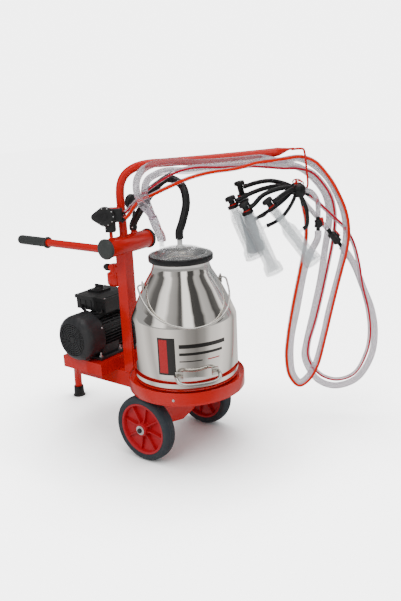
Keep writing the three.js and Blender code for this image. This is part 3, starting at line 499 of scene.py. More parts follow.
tube("handle_bar", [at(0, 266, 620), at(0, 500, 620), at(0, 744, 620)], 13.5, RED, 40, 40,
     stands_for=["handle_tube"], slot="red_paint")
lathe("handle_root", [(0, 0), (13.5, 0), (13.5, 10), (0, 10)], at(0, 257.5, 620), Y, RED, 40)
GRIP = [(0, 155), (8, 154.7), (13, 153), (15.6, 150.5), (16.6, 147)]
for k in range(17):
    t = 140 - k * 7.2
    GRIP += [(17, t + 2.6), (17, t - 0.6), (16.1, t - 1.2), (16.1, t - 2.6)]
GRIP += [(17, 14), (19.6, 9), (20.8, 6.5), (21, 4.5), (21, 1.5), (20.3, 0.3), (19, 0), (13.8, 0), (13.8, 143),
         (0, 143)]
lathe("handle_sleeve", GRIP, at(0, 602, 620), Y, CAP_RUBBER, 64, stands_for=["handle_grip"], slot="black_rubber")

arm_route = [[3, 0, 674.5], [2, 0, 740], [1, 0, 805], [6, 0, 840], [22, 0, 868], [52, 0, 888], [92, 0, 897.5],
             [150, 0, 899.5], [300, 0, 905], [440, 0, 912], [500, 0, 915.5], [520, 0, 919], [540, 0, 923],
             [556, 0, 923.5]]
tube("hose_arm_tube", [at_arm(p) for p in arm_route],
     lambda s: 13.5 if s < 0.93 else max(3.4, 13.5 - (s - 0.93) * 210), RED, 160, 40, stands_for=["hose_arm"],
     slot="red_paint")
hook_route = [[548, 0, 921.5], [572, 2, 923], [584, 6, 921], [588, 10, 908], [593, 12, 860], [597, 12, 812],
              [594, 9, 801], [584, 4, 796], [572, 0, 799], [564, 0, 811], [561, 0, 829]]
tube("hook_wire", [at_arm(p) for p in hook_route], 3.4, RED, 90, 16)

# ---- motor and pump -----------------------------------------------------------------------
MY, MZ = 380, 331
lathe("motor_carcass", [(9, -60), (62, -60), (66, -58), (66, -52), (61, -50), (61, 60), (66, 62), (66, 70), (64, 72),
                        (9, 72)], at(0, MY, MZ), X, MOTOR, 96, closed=True, stands_for=["motor_housing"],
      slot="motor_paint")
for k in range(40):
    a = math.radians(9 * k)
    if -0.5 < math.cos(a) < 0.5 and abs(math.sin(a)) > 0.86:
        continue
    ray = Vector((0, math.cos(a), math.sin(a)))
    n = X.cross(ray)
    verts = [at(0, MY, MZ) + X * (x / 1000) + ray * (r / 1000) + n * (w / 1000)
             for x, r, w in ((-51, 60, -1.5), (60, 60, -1.5), (60, 73.6, -0.9), (-51, 73.6, -0.9), (-51, 60, 1.5),
                             (60, 60, 1.5), (60, 73.6, 0.9), (-51, 73.6, 0.9))]
    finish_mesh(f"motor_fin_{k}", verts, [[3, 2, 1, 0], [4, 5, 6, 7], [0, 1, 5, 4], [1, 2, 6, 5], [2, 3, 7, 6],
                                          [3, 0, 4, 7]], MOTOR)
block("motor_feet", (-76, MY - 74, 251.3), (40, MY + 74, 261.5), MOTOR, 2.5)
for y in (MY - 52, MY + 52):
    block(f"motor_leg_{int(y)}", (-50, y - 8, 260), (30, y + 8, 300), MOTOR, 4)
for k, (x, y) in enumerate(((-64, MY - 62), (28, MY - 62), (-64, MY + 62), (28, MY + 62))):
    bolt(f"motor_bolt_{k}", at(x, y, 261.5), Z, 7)
    lathe(f"motor_stud_{k}", [(0, 0), (3, 0), (3, 9), (2.4, 9.8), (0, 9.8)], at(x, y, 267), Z, ZINC, 20)

cowl = at(0, MY, MZ)
lathe("fan_cowl", [(77, -52), (79, -52), (79, -100), (78.6, -106), (76.5, -114), (72, -122), (66, -128), (61, -131),
                   (58.5, -132), (56.5, -132), (56.5, -129.5), (62, -127), (68.5, -121), (74, -112), (77, -101)],
      cowl, X, MOTOR, 128, closed=True, stands_for=["fan_cover"], slot="black_plastic")
# Painted shade: a near-black disc just behind the grille stands in for the dark inside of the fan cover.
lathe("fan_shade_disc", [(0, -121), (60, -121), (60, -120), (0, -120)], cowl, X, LABEL_DARK, 64)
for k, r in enumerate((10, 17, 24, 31, 38, 45, 52)):
    lathe(f"grille_ring_{k}", [(r - 1.5, -131.6), (r - 0.9, -132), (r + 0.9, -132), (r + 1.5, -131.6),
                               (r + 1.5, -129.4), (r - 1.5, -129.4)], cowl, X, MOTOR, 96, closed=True)
lathe("grille_hub", [(0, -132), (7, -132), (8, -131), (8, -129), (0, -129)], cowl, X, PLASTIC, 48)
for k in range(24):
    a = math.radians(15 * k)
    inner, outer = (8 if k % 3 == 0 else 24), 57.5
    ray = Vector((0, math.cos(a), math.sin(a)))
    bend = X.cross(ray)
    route = [cowl + ray * (r / 1000) + bend * ((r - inner) * 0.10 / 1000) - X * 0.1304
             for r in (inner, (inner + outer) / 2, outer)]
    tube(f"grille_bar_{k}", route, 1.3, MOTOR, 6, 8)
for k in range(3):
    a = math.radians(35 + 120 * k)
    ray = Vector((0, math.cos(a), math.sin(a)))
    dome_screw(f"cowl_screw_{k}", cowl + ray * 0.0788 - X * 0.058, ray, 3.4, ZINC)

for k, (x, y) in enumerate(((-24, 319), (104, 319), (-24, 449), (104, 449))):
    dome_screw(f"box_screw_{k}", at(x, y, 455.9), Z, 3.6, ZINC)
block("box_lid_rib_x", (-14, 322, 455.8), (94, 326, 457.5), PLASTIC, 0.8)
for k in range(5):
    block(f"box_side_rib_{k}", (-29.6, 330 + 26 * k, 412), (-28, 336 + 26 * k, 440), PLASTIC, 0.5)
lathe("switch_turner", [(0, 8), (14, 8), (15, 7), (17, 0.6), (16.6, 0), (0, 0)], at(48, 416, 462.4), Z, PLASTIC, 56,
      body="switch", stands_for=["switch_knob"], slot="black_plastic")
block("switch_grip", (44, 398.4, 467), (52, 433.6, 478.3), PLASTIC, 1.8, body="switch")
block("switch_mark", (47.2, 399.5, 478.1), (48.8, 410, 478.5), DIAL, 0.1, body="switch")
lathe("switch_plate", [(0, 0), (24, 0), (25, -0.6), (25, -1.6), (0, -1.6)], at(48, 416, 462.2), Z, PLASTIC, 56)
for k, a in enumerate((0, 90)):
    ray = Vector((math.sin(math.radians(a)), -math.cos(math.radians(a)), 0))
    lathe(f"switch_dot_{k}", [(0, 0), (1.3, 0), (1.3, 0.25), (0, 0.3)], at(48, 416, 462.15) + ray * 0.0215, Z, DIAL, 16)
gland = at(10, 457, 426)
lathe("cable_gland", [(0, 0), (9, 0), (9, 6), (8, 7), (8, 14), (6, 17), (0, 17)], gland, Y, PLASTIC, 40)
tube("motor_lead", [at(-24, 330, 417), at(-38, 328, 410), at(-44, 350, 405), at(-44, 385, 406), at(-38, 416, 412),
                    at(-28, 428, 420)], 4.2, RUBBER, 50, 18)

lathe("pump_case", [(9, 72.3), (62, 72.3), (64, 74), (64, 82), (62, 84), (56, 85), (54, 87), (54, 144), (52, 148),
                    (48, 151), (44, 152), (6.5, 152), (6.5, 146), (36, 146), (36, 90), (9, 90)],
      at(0, MY, MZ), X, IRON, 96, closed=True, stands_for=["pump_body"], slot="pump_iron")
block("pump_feet", (88, MY - 50, 251.3), (140, MY + 50, 259.7), IRON, 2)
block("pump_web", (92, MY - 26, 258), (136, MY + 26, 292), IRON, 3)
lathe("pump_port", [(0, 0), (12, 0), (12, 5), (10, 6), (10, 18), (8, 18), (8, 12), (0, 12)], at(114, MY, MZ + 46), Z,
      IRON, 40)
for k in range(6):
    a = math.radians(60 * k + 30)
    ray = Vector((0, math.cos(a), math.sin(a)))
    bolt(f"pump_bolt_{k}", at(151.6, MY, MZ) + ray * 0.043, X, 4.2, washer=False)

# ---- regulator, pulsator, gauge -----------------------------------------------------------
lathe("regulator_can", [(0, 0), (19, 0), (21, 1), (26, 6.5), (27, 9), (27, 41), (26, 43), (18.5, 46), (17.2, 47.5),
                        (17, 50), (17, 69), (16, 71.5), (13.5, 73), (0, 73)], at(0, 284, 502), Z, RED, 72,
      stands_for=["regulator_body"], slot="red_paint")
block("regulator_bracket", (-12, 255.5, 546), (12, 284, 568), RED, 1.5)
lathe("regulator_neck", [(0, 0), (9, 0), (9, 22), (0, 22)], at(0, 284, 561), Y, RED, 40)
CAP = [(0, 27), (3, 26.6), (6.5, 25), (9.5, 21), (11, 16.5)]
lathe("regulator_turner", CAP + [(12, 15), (12, 1), (11.2, 0), (0, 0)], at(0, 306.4, 561), Y, PLASTIC, 48,
      body="regulator_knob", stands_for=["regulator_cap"], slot="black_plastic")
for k in range(16):
    a = math.radians(22.5 * k)
    ray = Vector((math.cos(a), 0, math.sin(a)))
    tube(f"regulator_rib_{k}", [at(0, 308, 561) + ray * 0.0115, at(0, 314, 561) + ray * 0.0115,
                                at(0, 320, 561) + ray * 0.0113], 0.8, PLASTIC, 4, 6, body="regulator_knob")

CA, CZ = -44, 748
lathe("pulsator_drum", [(0, 0), (23, 0), (25, 2), (25, 26), (23.5, 27.6), (0, 27.6)], at_arm([CA, 34, CZ]), ASIDE,
      PLASTIC, 64, stands_for=["pulsator_body"], slot="black_plastic")


def arm_block(name, centre, along, aside, up, mat, bevel, **kw):
    outline = [(-along / 2, -aside / 2), (along / 2, -aside / 2), (along / 2, aside / 2), (-along / 2, aside / 2)]
    return slab(name, outline, Z, at_arm([centre[0], centre[1], centre[2] - up / 2]), ALONG, up, mat, bevel, 4, **kw)


arm_block("pulsator_valve", [-16, 46, 749], 50, 30, 44, PLASTIC, 6)
arm_block("pulsator_socket", [-32, 42, 712.3], 32, 32, 33.4, PLASTIC, 3)
arm_block("pulsator_top", [-14, 46, 770.4], 34, 22, 4.4, LEVER, 1.5)
lathe("pulsator_cap", [(0, 2), (9, 2), (10, 1), (10, -3), (0, -3)], at_arm([-24, 46, 771]), Z, DIAL, 32)
for k, (base, tip) in enumerate((([4, 46, 726], [16, 46, 736]), ([4, 35, 744], [16, 35, 754]))):
    start, end = at_arm(base), at_arm(tip)
    lathe(f"pulsator_nipple_{k}", [(0, 0), (5.4, 0), (5.4, 5), (4.6, 6), (5.4, 8), (4.6, 10), (5.4, 12), (4.4, 14.5),
                                   (4, 15.5), (0, 15.5)], start, end - start, PLASTIC, 32)


def teardrop(grow):
    points = []
    for k in range(41):
        a = math.radians(-112 + 224 * k / 40)
        points.append(((31 + grow) * math.cos(a), (31 + grow) * math.sin(a)))
    for k in range(13):
        a = math.radians(119 + 122 * k / 12)
        points.append((-30 + (13 + grow) * math.cos(a), (13 + grow) * math.sin(a)))
    return points


def stack(name, layers, origin, normal, across, mat, **kw):
    """A rounded plate from outlines at rising heights: [(outline, height), ...]."""
    n, u = Vector(normal).normalized(), Vector(across).normalized()
    v = n.cross(u)
    count = len(layers[0][0])
    verts = [origin + (u * a + v * b + n * h) / 1000 for outline, h in layers for a, b in outline]
    faces = [list(range(count))[::-1], [(len(layers) - 1) * count + i for i in range(count)]]
    for k in range(len(layers) - 1):
        faces += [[k * count + i, k * count + (i + 1) % count, (k + 1) * count + (i + 1) % count,
                   (k + 1) * count + i] for i in range(count)]
    return finish_mesh(name, verts, faces, mat, **kw)


cover_at = at_arm([CA, 62, CZ])
stack("pulsator_face", [(teardrop(-1), 0), (teardrop(0), 1), (teardrop(0), 8), (teardrop(-1), 10.5),
                        (teardrop(-3), 12.8), (teardrop(-6), 14.4), (teardrop(-12), 15.6)],
      cover_at, ASIDE, ALONG, PLASTIC, stands_for=["pulsator_cover"], slot="black_plastic")
for k in range(7):
    a = math.radians(-105 + 35 * k)
    spot = cover_at + ASIDE * 0.0128 + (ALONG * math.cos(a) + Z * math.sin(a)) * 0.0262
    dome_screw(f"pulsator_screw_{k}", spot, ASIDE, 2.4, DIAL)
lathe("pulsator_boss", [(0, 2.4), (8, 2), (9, 1), (9.4, 0), (0, 0)], cover_at + ASIDE * 0.0156, ASIDE, PLASTIC, 32)

gauge_at = at(74, 252, 772)
lathe("gauge_can", [(0, -9), (22, -9), (24.6, -8.2), (26, -6), (26, 9), (25.2, 10), (23.6, 10), (23, 9), (23, 2),
                    (0, 2)], gauge_at, Y, PLASTIC, 72, stands_for=["gauge_case"], slot="black_plastic")
lathe("gauge_dial", [(0, 2.3), (22.8, 2.3), (22.8, 2), (0, 2)], gauge_at, Y, DIAL, 48)
for k in range(31):
    a = math.radians(225 - 9 * k)
    ray = Vector((-math.cos(a), 0, math.sin(a)))
    size = 0.9 if k % 5 == 0 else 0.45
    reach = 6 if k % 5 == 0 else 3.5
    tube(f"dial_mark_{k}", [gauge_at + Y * 0.0024 + ray * ((21 - reach) / 1000), gauge_at + Y * 0.0024
                            + ray * 0.019, gauge_at + Y * 0.0024 + ray * 0.021], size / 2, LABEL_DARK, 2, 6)
lathe("gauge_stem", [(0, 0), (7, 0), (7, 7), (4.6, 8), (4.6, 30), (7, 32), (7, 44), (4.6, 46), (4.6, 64), (0, 64)],
      at(74, 248, 686.4), Z, PLASTIC, 36)
lathe("gauge_hub", [(0, 0), (3, 0), (3, 2.2), (2.2, 2.7), (0, 2.7)], at(74, 254.4, 772), Y, LEVER, 32, body="needle",
      stands_for=["gauge_needle"], slot="lever_plastic")
down = Vector((math.sin(math.radians(135)), 0, math.cos(math.radians(135))))
tube("gauge_pointer", [at(74, 256, 772), at(74, 256, 772) + down * 0.009, at(74, 256, 772) + down * 0.0172],
     lambda s: 1.1 - 0.8 * s, LEVER, 8, 8, body="needle")

# ---- pail, lid, bail ----------------------------------------------------------------------
PAIL = [(0, 253), (150, 253), (152, 248), (153.5, 247.4), (156, 247.4), (161, 249), (164, 254), (164.8, 258),
        (164.8, 271.4), (163.6, 273.2), (163.6, 275.2), (165, 277), (165, 430), (164.8, 438), (164, 445),
        (162, 452), (158, 461), (151, 478), (150, 481)]
PAIL += [(150 - 33 * k / 8, 481 + 67 * k / 8) for k in range(1, 9)]
PAIL += [(107, 565), (97, 581), (92, 590), (89, 599), (88, 607), (88, 623), (89.4, 625.4), (92, 626), (95, 626.4),
         (96, 627.6), (96, 629), (95, 630), (90, 630), (87, 629), (86.5, 625), (86.5, 607), (95.5, 582), (148, 482),
         (163.5, 436), (163.5, 260), (0, 255)]
pail = lathe("pail_shell", PAIL, at(0, 0, 0), Z, STEEL, 200, sharp=60, body="pail", stands_for=["pail_body"],
             slot="pail_steel")
for k, side in enumerate((-1, 1)):
    centre = at_pail(side * 122, 0, 550)
    out = EAR * side
    lug = [(-12, -15), (12, -15), (10, 4), (6, 10.5), (0, 12.5), (-6, 10.5), (-10, 4)]
    slab(f"pail_ear_{k}", [(a, b) for a, b in lug], out, centre - out * 0.001, FRONT * -side if side < 0 else
         FRONT * -1, 4.2, WIRE, 1.2, 3, body="pail")
    block_at = centre - out * 0.006
    lathe(f"ear_pin_{k}", [(0, 0), (6.5, 0), (6.5, 2.4), (3.9, 3), (3.9, 8), (0, 8)], block_at + out * 0.002, out,
          WIRE, 32, body="pail")
    for j, z in enumerate((-11, -4)):
        dome_screw(f"ear_rivet_{k}_{j}", centre + out * 0.0032 + Z * (z / 1000) + FRONT * 0.0072, out, 1.9, WIRE,
                   "pail")

lean = math.radians(-30)


def bail_point(across, out):
    return at_pail(across, out * math.cos(lean), 550 + out * math.sin(lean))


half = [(-121.5, 0), (-132, 0), (-138, 5), (-138, 30), (-132, 76), (-113, 130), (-72, 176)]
bail_route = [*half, (0, 200), *[(-a, o) for a, o in reversed(half)]]
tube("bail_wire", [bail_point(a, o) for a, o in bail_route], 3, WIRE, 220, 20, body="bail",
     stands_for=["pail_bail"], slot="pail_steel")
grip_route = [(-66, 153, 303), (-66, 168, 300), (-60, 184, 291), (-42, 193, 286), (42, 193, 286), (60, 184, 291),
              (66, 168, 300), (66, 153, 303)]
tube("pail_grip", [at_pail(*p) for p in grip_route], 5.6, WIRE, 120, 24, body="pail", stands_for=["pail_handle"],
     slot="pail_steel")


def wall_patch(name, phi0, phi1, z0, z1, radius, mat, body="pail", bevel_steps=24):
    """A thin curved piece on the pail's wall between two headings in degrees."""
    verts, faces = [], []
    for r in (radius - 0.3, radius):
        for k in range(bevel_steps + 1):
            a = math.radians(phi0 + (phi1 - phi0) * k / bevel_steps)
            for z in (z0, z1):
                verts.append(at(r * math.cos(a), r * math.sin(a), z))
    n = 2 * (bevel_steps + 1)
    for k in range(bevel_steps):
        i = 2 * k
        faces += [[i, i + 1, i + 3, i + 2], [n + i, n + i + 2, n + i + 3, n + i + 1],
                  [i, i + 2, n + i + 2, n + i], [i + 1, n + i + 1, n + i + 3, i + 3]]
    faces += [[0, n, n + 1, 1], [n - 2, n - 1, 2 * n - 1, 2 * n - 2]]
    return finish_mesh(name, verts, faces, mat, body=body)


wall_patch("label_panel", -171, -152, 304, 420, 165.25, LABEL_DARK)
wall_patch("label_band", -169.5, -160.5, 310, 414, 165.4, LABEL_RED)
wall_patch("label_line_0", -148, -96, 388, 400, 165.25, LABEL_DARK)
wall_patch("label_line_1", -148, -100, 366, 374, 165.25, LABEL_DARK)
wall_patch("label_line_2", -148, -124, 346, 349, 165.25, LABEL_DARK)
wall_patch("label_line_3", -118, -104, 346, 349, 165.25, LABEL_RED)
wall_patch("pail_grip_plate_0", -153, -145, 292, 316, 166.3, WIRE, bevel_steps=8)
wall_patch("pail_grip_plate_1", -114, -106, 292, 316, 166.3, WIRE, bevel_steps=8)

lathe("gasket_ring", [(89.8, 617.4), (91, 617), (96.4, 617.4), (98.8, 619), (99.5, 621.5), (99.5, 632.5),
                      (98.8, 634.8), (96.6, 636), (88, 636), (86.6, 635), (86.2, 632), (87, 631.2), (96.6, 631.2),
                      (97.2, 630.4), (97.2, 624), (96.4, 623.2), (90.6, 623), (89.6, 622)],
      at(0, 0, 0), Z, RUBBER, 144, closed=True, body="pail", stands_for=["lid_gasket"], slot="black_rubber")
lathe("lid_dome", [(0, 660), (20, 659.6), (40, 657.4), (56, 653.6), (66, 649.4), (72, 645.4), (75.4, 641),
                   (77.4, 639.4), (80, 639), (95, 639), (95.8, 638.4), (96, 637.2), (95.4, 636.4), (77, 636.4),
                   (75, 637.4), (72.6, 640.4), (69.4, 643.2), (64, 646.6), (54, 650.8), (39, 654.6), (20, 656.8),
                   (0, 657.2)], at(0, 0, 0), Z, DOME, 144, body="lid_set", stands_for=["lid"], slot="clear_plastic")
lathe("lid_nozzle", [(0, -3), (12, -3), (12, 1), (8.6, 3), (8, 5), (8, 21), (7, 22), (5, 22), (5, 4), (0, 4)],
      at(0, 0, 660), Z, DIAL, 48, body="lid_set")
lathe("lid_milk_nozzle", [(0, -14), (8, -14), (8, 21), (7, 22), (5, 22), (5, 6), (0, 6)], at(-12, 62, 650), Z, CLEAR,
      48, body="lid_set")
for k in range(6):
    a = math.radians(60 * k + 20)
    ray = Vector((math.cos(a), math.sin(a), 0))
    tube(f"lid_rib_{k}", [at(0, 0, 639.2) + ray * 0.0785, at(0, 0, 639.2) + ray * 0.087,
                          at(0, 0, 639.2) + ray * 0.0945], 1.0, DOME, 4, 8, body="lid_set")

# ---- hoses --------------------------------------------------------------------------------
vacuum_route = [at(52, 235, 684.6), at(52, 235, 700), at(52, 200, 748), at(57, 141, 817), at(64, 89, 853),
                at(62, 32, 836), at(41, 0, 788), at(14, -4, 734), at(0, 0, 702), at(0, 0, 682.6)]
MILK_ROUTES = [
    [[89.6, 114.3, 771.6], [80.1, 121.4, 784.7], [69, 112, 806], [62, 92, 832], [65, 66, 861], [83, 48, 885],
     [116, 36, 899], [158, 30, 904], [210, 27, 900], [275, 27, 896], [368, 27, 898], [452, 26, 901],
     [504, 12, 889], [544, -4, 892], [577, -21, 891], [615, -13, 873], [659, 4, 831], [687, 24, 778],
     [708, 34, 719], [716, 36, 658], [709, 36, 593], [696, 34, 530], [663, 30, 395], [645, 26, 303],
     [619, 20, 202], [594, 14, 157], [569, 10, 138], [546, 6, 167], [538, 4, 229], [542, 3, 301],
     [560, 3, 392], [591, 4, 547], [610, 12, 600], [624, 25, 634], [627, 28, 650], [627, 28, 664.4]],
    [[96.8, 90.8, 772.6], [91.4, 85.4, 788.9], [85, 80, 811], [88, 70, 838], [98, 64, 856], [118, 60, 868],
     [151, 54, 878], [215, 32, 874], [290, 14, 876], [385, 6, 880], [464, 2, 883], [512, -12, 880],
     [553, -30, 870], [592, -38, 853], [637, -38, 810], [664, -38, 766], [675, -38, 713], [673, -38, 664],
     [664, -38, 604], [646, -37, 482], [624, -36, 377], [599, -34, 267], [592, -33, 216], [613, -32, 159],
     [645, -28, 122], [700, -22, 105], [770, -16, 132], [817, -12, 212], [827, -10, 300], [814, -10, 383],
     [785, -9, 458], [756, -6, 532], [728, 6, 579], [707.7, 9, 605.3]],
]
PULSE_ROUTES = [
    [[16.3, 46, 736.3], [28, 46, 746], [51, 54, 777], [71, 58, 794], [101, 62, 806], [164, 92, 835],
     [227, 92, 858], [288, 70, 869], [369, 48, 875], [438, 44, 890], [482, 40, 893], [525, 24, 896],
     [581, -1, 897], [621, 6, 880], [658, 24, 836], [688, 44, 781], [710, 54, 722], [718, 56, 661],
     [711, 56, 597], [696, 54, 535], [666, 50, 401], [647, 46, 310], [622, 38, 205], [593, 32, 153],
     [563, 29, 135], [533, 26, 169], [522, 24, 237], [528, 22, 308], [542, 22, 398], [573, 21, 552],
     [589, 20, 635], [589, 21, 700], [583.2, 22, 732], [580, 22.5, 745.8]],
    [[16.3, 35, 754.3], [28, 35, 764], [53, 38, 787], [78, 44, 811], [128, 74, 848], [182, 78, 876],
     [243, 62, 887], [320, 44, 883], [415, 27, 880], [471, 20, 874], [520, 6, 867], [570, -14, 862],
     [615, -18, 847], [653, -15, 807], [679, -15, 761], [689, -15, 709], [687, -15, 650], [661, -15, 506],
     [628, -14, 358], [604, -14, 270], [602, -13, 223], [623, -12, 178], [655, -10, 148], [704, -8, 135],
     [757, 0, 158], [795, 8, 236], [804, 12, 308], [795, 13, 390], [774, 13, 474], [761, 13, 551],
     [744, 10, 615], [718, 8, 665], [686, 6, 697], [655, -6, 728], [628, -16, 755], [606, -20, 772]],
]


def hose(name, node, points, radius, mat, slot, steps=420,
         bend=None):
    obj, line, length = tube(name, points, radius, mat, steps, 28, facing_out=ASIDE, body=None if bend else "frame",
                             stands_for=[node], slot=slot)
    if bend:
        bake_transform(obj)
    return obj


hose("suction_hose", "vacuum_hose", vacuum_route, 12.5, RUBBER, "black_rubber", steps=160,
     bend=(at(50, 205, 0), at(20, 10, 0)))
hose("milk_line_1", "milk_hose_1", [at_arm(p) for p in MILK_ROUTES[0]], 11, MILK, "clear_hose",
     bend=(at_arm([0, 50, 0]), at_arm([0, 108, 0])))
hose("milk_line_2", "milk_hose_2", [at_arm(p) for p in MILK_ROUTES[1]], 11, MILK, "clear_hose",
     bend=(at_arm([0, 30, 0]), at_arm([0, 80, 0])))
hose("pulse_line_1", "pulse_hose_1", [at_arm(p) for p in PULSE_ROUTES[0]], 6.5, PULSE_1, "pulse_hose")
hose("pulse_line_2", "pulse_hose_2", [at_arm(p) for p in PULSE_ROUTES[1]], 6.5, PULSE_2, "pulse_hose")

cuff, _, _ = tube("cuff_stem", [at_arm(p) for p in ([130, 115, 672.6], [130, 115, 682], [118, 110, 713],
                                                    [106, 102, 747])],
                  lambda s: 13.8 - 1.4 * math.exp(-((s - 0.45) / 0.06) ** 2), MILK, 60, 36, body="lid_set",
                  stands_for=["milk_cuff"], slot="clear_hose")
tube("cuff_fork_1", [at_arm(p) for p in ([107, 101, 742], [98, 108, 760], [90, 114, 771])], 11.2, MILK, 20, 32,
     body="lid_set")
tube("cuff_fork_2", [at_arm(p) for p in ([107, 101, 742], [101, 95, 760], [97, 91, 772])], 11.2, MILK, 20, 32,
     body="lid_set")
for k, (centre, axis, r) in enumerate((([129.6, 114.8, 681], [0, 0, 1], 14), ([113, 107, 728], [-0.3, -0.2, 0.93], 14))):
    lean_axis = ALONG * axis[0] + ASIDE * axis[1] + Z * axis[2]
    lathe(f"cuff_band_{k}", [(r - 1, -4), (r, -3.4), (r, 3.4), (r - 1, 4)], at_arm(centre), lean_axis, CLEAR, 48,
          body="lid_set")
lathe("port_band", [(12.4, -6), (13.4, -5.6), (13.4, 5.6), (12.4, 6)], at(52, 235, 694), Z, RUBBER, 48)
dome_screw("port_screw", at(52, 235, 694) + Vector((-0.85, -0.5, 0)).normalized() * 0.0134, (-0.85, -0.5, 0), 2.6,
           DIAL)

# ---- clusters -----------------------------------------------------------------------------
CUPS = [
    (0, 45, (404, 732), (484, 540), 10, 27, [(450, 36, 786), (495, 28, 802), (535, 24, 806)],
     [(490, 38, 702), (516, 27, 718), (542, 24, 752)]),
    (1, 5, (362, 747), (424, 583), 10, 27, [(410, 3, 788), (455, -4, 802), (500, -12, 808), (535, -20, 804)],
     [(470, -2, 730), (515, -12, 755)]),
    (0, 58, (482, 745), (607, 570), 58, 27, [(516, 48, 790), (542, 34, 800)], [(588, 56, 725), (580, 44, 760)]),
    (1, -66, (399, 754), (435, 591), 10, 58, [(440, -59, 816), (485, -44, 822), (530, -30, 812)],
     [(480, -60, 724), (530, -40, 768)]),
]
CLAW_TUBES = [
    (0, 6, [[570, 24, 789], [577, 23, 759], [579.9, 22.5, 746.3]]),
    (0, 8, [[575, 24, 797], [604, 26, 790], [623, 28, 764], [627, 28, 733], [627, 28, 711.5]]),
    (1, 6, [[572, -24, 794], [594.6, -22, 780.8], [605.5, -20.1, 772.4]]),
    (1, 8, [[570, -20, 784], [590, -14, 752], [620, -4, 715], [645, 8, 684], [660.4, 9, 666.9]]),
]
for i in (0, 1):
    hub = at_arm([568, 24 if i == 0 else -24, 0])
    lathe(f"claw_hub_{i + 1}", [(0, 775), (12, 775), (15, 776.6), (19, 782), (20, 785), (20, 793), (18.8, 794.2),
                                (18.8, 796.4), (20, 797.6), (20, 806), (18.5, 809), (14, 813.6), (10, 815),
                                (0, 815)], hub, Z, RUBBER, 72, stands_for=[f"claw_{i + 1}"], slot="black_rubber")
    tube(f"claw_tie_{i + 1}", [hub + Z * 0.8155 + ALONG * (0.014 * math.cos(a)) + Z * (0.010 * abs(math.sin(a)))
                               + ASIDE * (0.004 * math.sin(2 * a)) for a in (0, 0.8, 1.6, 2.4, 3.1)],
         2.2, LEVER, 24, 10)

for i, (claw, aside, top, mouth, neck, stem, milk, pulse) in enumerate(CUPS, 1):
    start = at_arm([top[0], aside, top[1]])
    axis = (at_arm([mouth[0], aside, mouth[1]]) - start)
    length = axis.length * 1000
    axis.normalize()
    side = (ALONG - axis * ALONG.dot(axis)).normalized()
    belly = neck + 24
    wide = 14 if neck > 20 else 18
    shell = [(12.8, 0.2), (16.4, 0), (17, 0.8), (wide, neck), (wide + 1.5, neck + 5), (23.2, belly - 4),
             (24.5, belly), (24.5, belly + 6), (24.1, belly + 7), (24.1, belly + 9), (24.5, belly + 10),
             (23.5, length - 37), (24.3, length - 33), (28.8, length - 27), (30, length - 24),
             (30.7, length - 10), (31, length - 8), (31, length), (28.8, length), (28.6, length - 8),
             (27.4, length - 23), (22, length - 32), (21.3, length - 38), (22, belly + 8), (21, belly - 1),
             (13, neck + 2)]
    lathe(f"cup_case_{i}", shell, start, axis, CLEAR, 72, closed=True, stands_for=[f"cup_shell_{i}"],
          slot="clear_plastic")
    port = start + axis * ((belly + 26) / 1000)
    lathe(f"cup_nipple_{i}", [(0, 22.5), (6.6, 22.5), (6.6, 25), (5, 26), (5, 29), (4.3, 30), (5, 32), (4.3, 34),
                              (4, 36), (0, 36)], port, side, CLEAR, 32)
    lathe(f"cup_sleeve_{i}", [(0, 12), (9.5, 12), (10, length - 30), (14, length - 2), (22, length + 1.2),
                              (28, length + 3.5), (30, length + 3), (30, length + 0.4), (22, length - 1),
                              (16, length - 34), (12, length - 44), (12, 0.5), (0, 0.5)],
          start, axis, SILICONE, 64)
    head = [(0, -0.4), (18, -0.4), (19, -1.2), (19, -4), (18.2, -4.6), (18.2, -5.6), (19, -6.2), (19, -9.2),
            (18.2, -10), (10, -10)]
    if stem > 40:
        head += [(10, -20), (16.4, -20), (17, -20.8), (17, -27.2), (16.4, -28), (10, -28)]
    lathe(f"cup_head_{i}", head + [(10, -stem), (0, -stem)], start, axis, RUBBER, 64,
          stands_for=[f"cup_liner_{i}"], slot="black_rubber")
    band = -24 if stem > 40 else -12.2
    r = 17.3 if stem > 40 else 12
    lathe(f"cup_ring_{i}", [(r - 1.5, band - 1.6), (r, band - 1.2), (r, band + 1.2), (r - 1.5, band + 1.6)], start,
          axis, LEVER, 56, closed=True)
    knob = -stem - 0.4
    lathe(f"cup_shutoff_{i}", [(0, knob), (16.4, knob), (17, knob - 0.8), (17, knob - 9.6), (15.6, knob - 11.6),
                               (13, knob - 12.6), (0, knob - 12.6)], start, axis, PLASTIC, 64,
          body=f"shutoff_{i}", stands_for=[f"cup_knob_{i}"], slot="black_plastic")
    for k in range(20):
        a = math.radians(18 * k)
        ray = side * math.cos(a) + axis.cross(side) * math.sin(a)
        spot = start + axis * ((knob - 5.3) / 1000) + ray * 0.0166
        tube(f"cup_knurl_{i}_{k}", [spot - axis * 0.0035, spot, spot + axis * 0.0035], 0.9, PLASTIC, 2, 6,
             body=f"shutoff_{i}")

    out_at = start + axis * ((8.5 - stem) / 1000)
    outlet = [out_at + side * ((10.6 + t) / 1000) for t in (0, 14)]
    inlet = [port + side * (t / 1000) for t in (36.6, 50)]
    centre = at_arm([562, 24 if claw == 0 else -24, 796])
    tube(f"milk_link_{i}", [*outlet, *map(at_arm, milk), centre], 7.5, RUBBER, 70, 28)
    tube(f"pulse_link_{i}", [*inlet, *map(at_arm, pulse), centre], 6, RUBBER, 70, 24)
    for j, p in enumerate((outlet[0], inlet[0])):
        rr = 7.5 if j == 0 else 6
        lathe(f"link_cuff_{i}_{j}", [(rr - 0.6, 1), (rr + 1, 1.6), (rr + 1, 8), (rr - 0.6, 9)], p, side, RUBBER, 32)
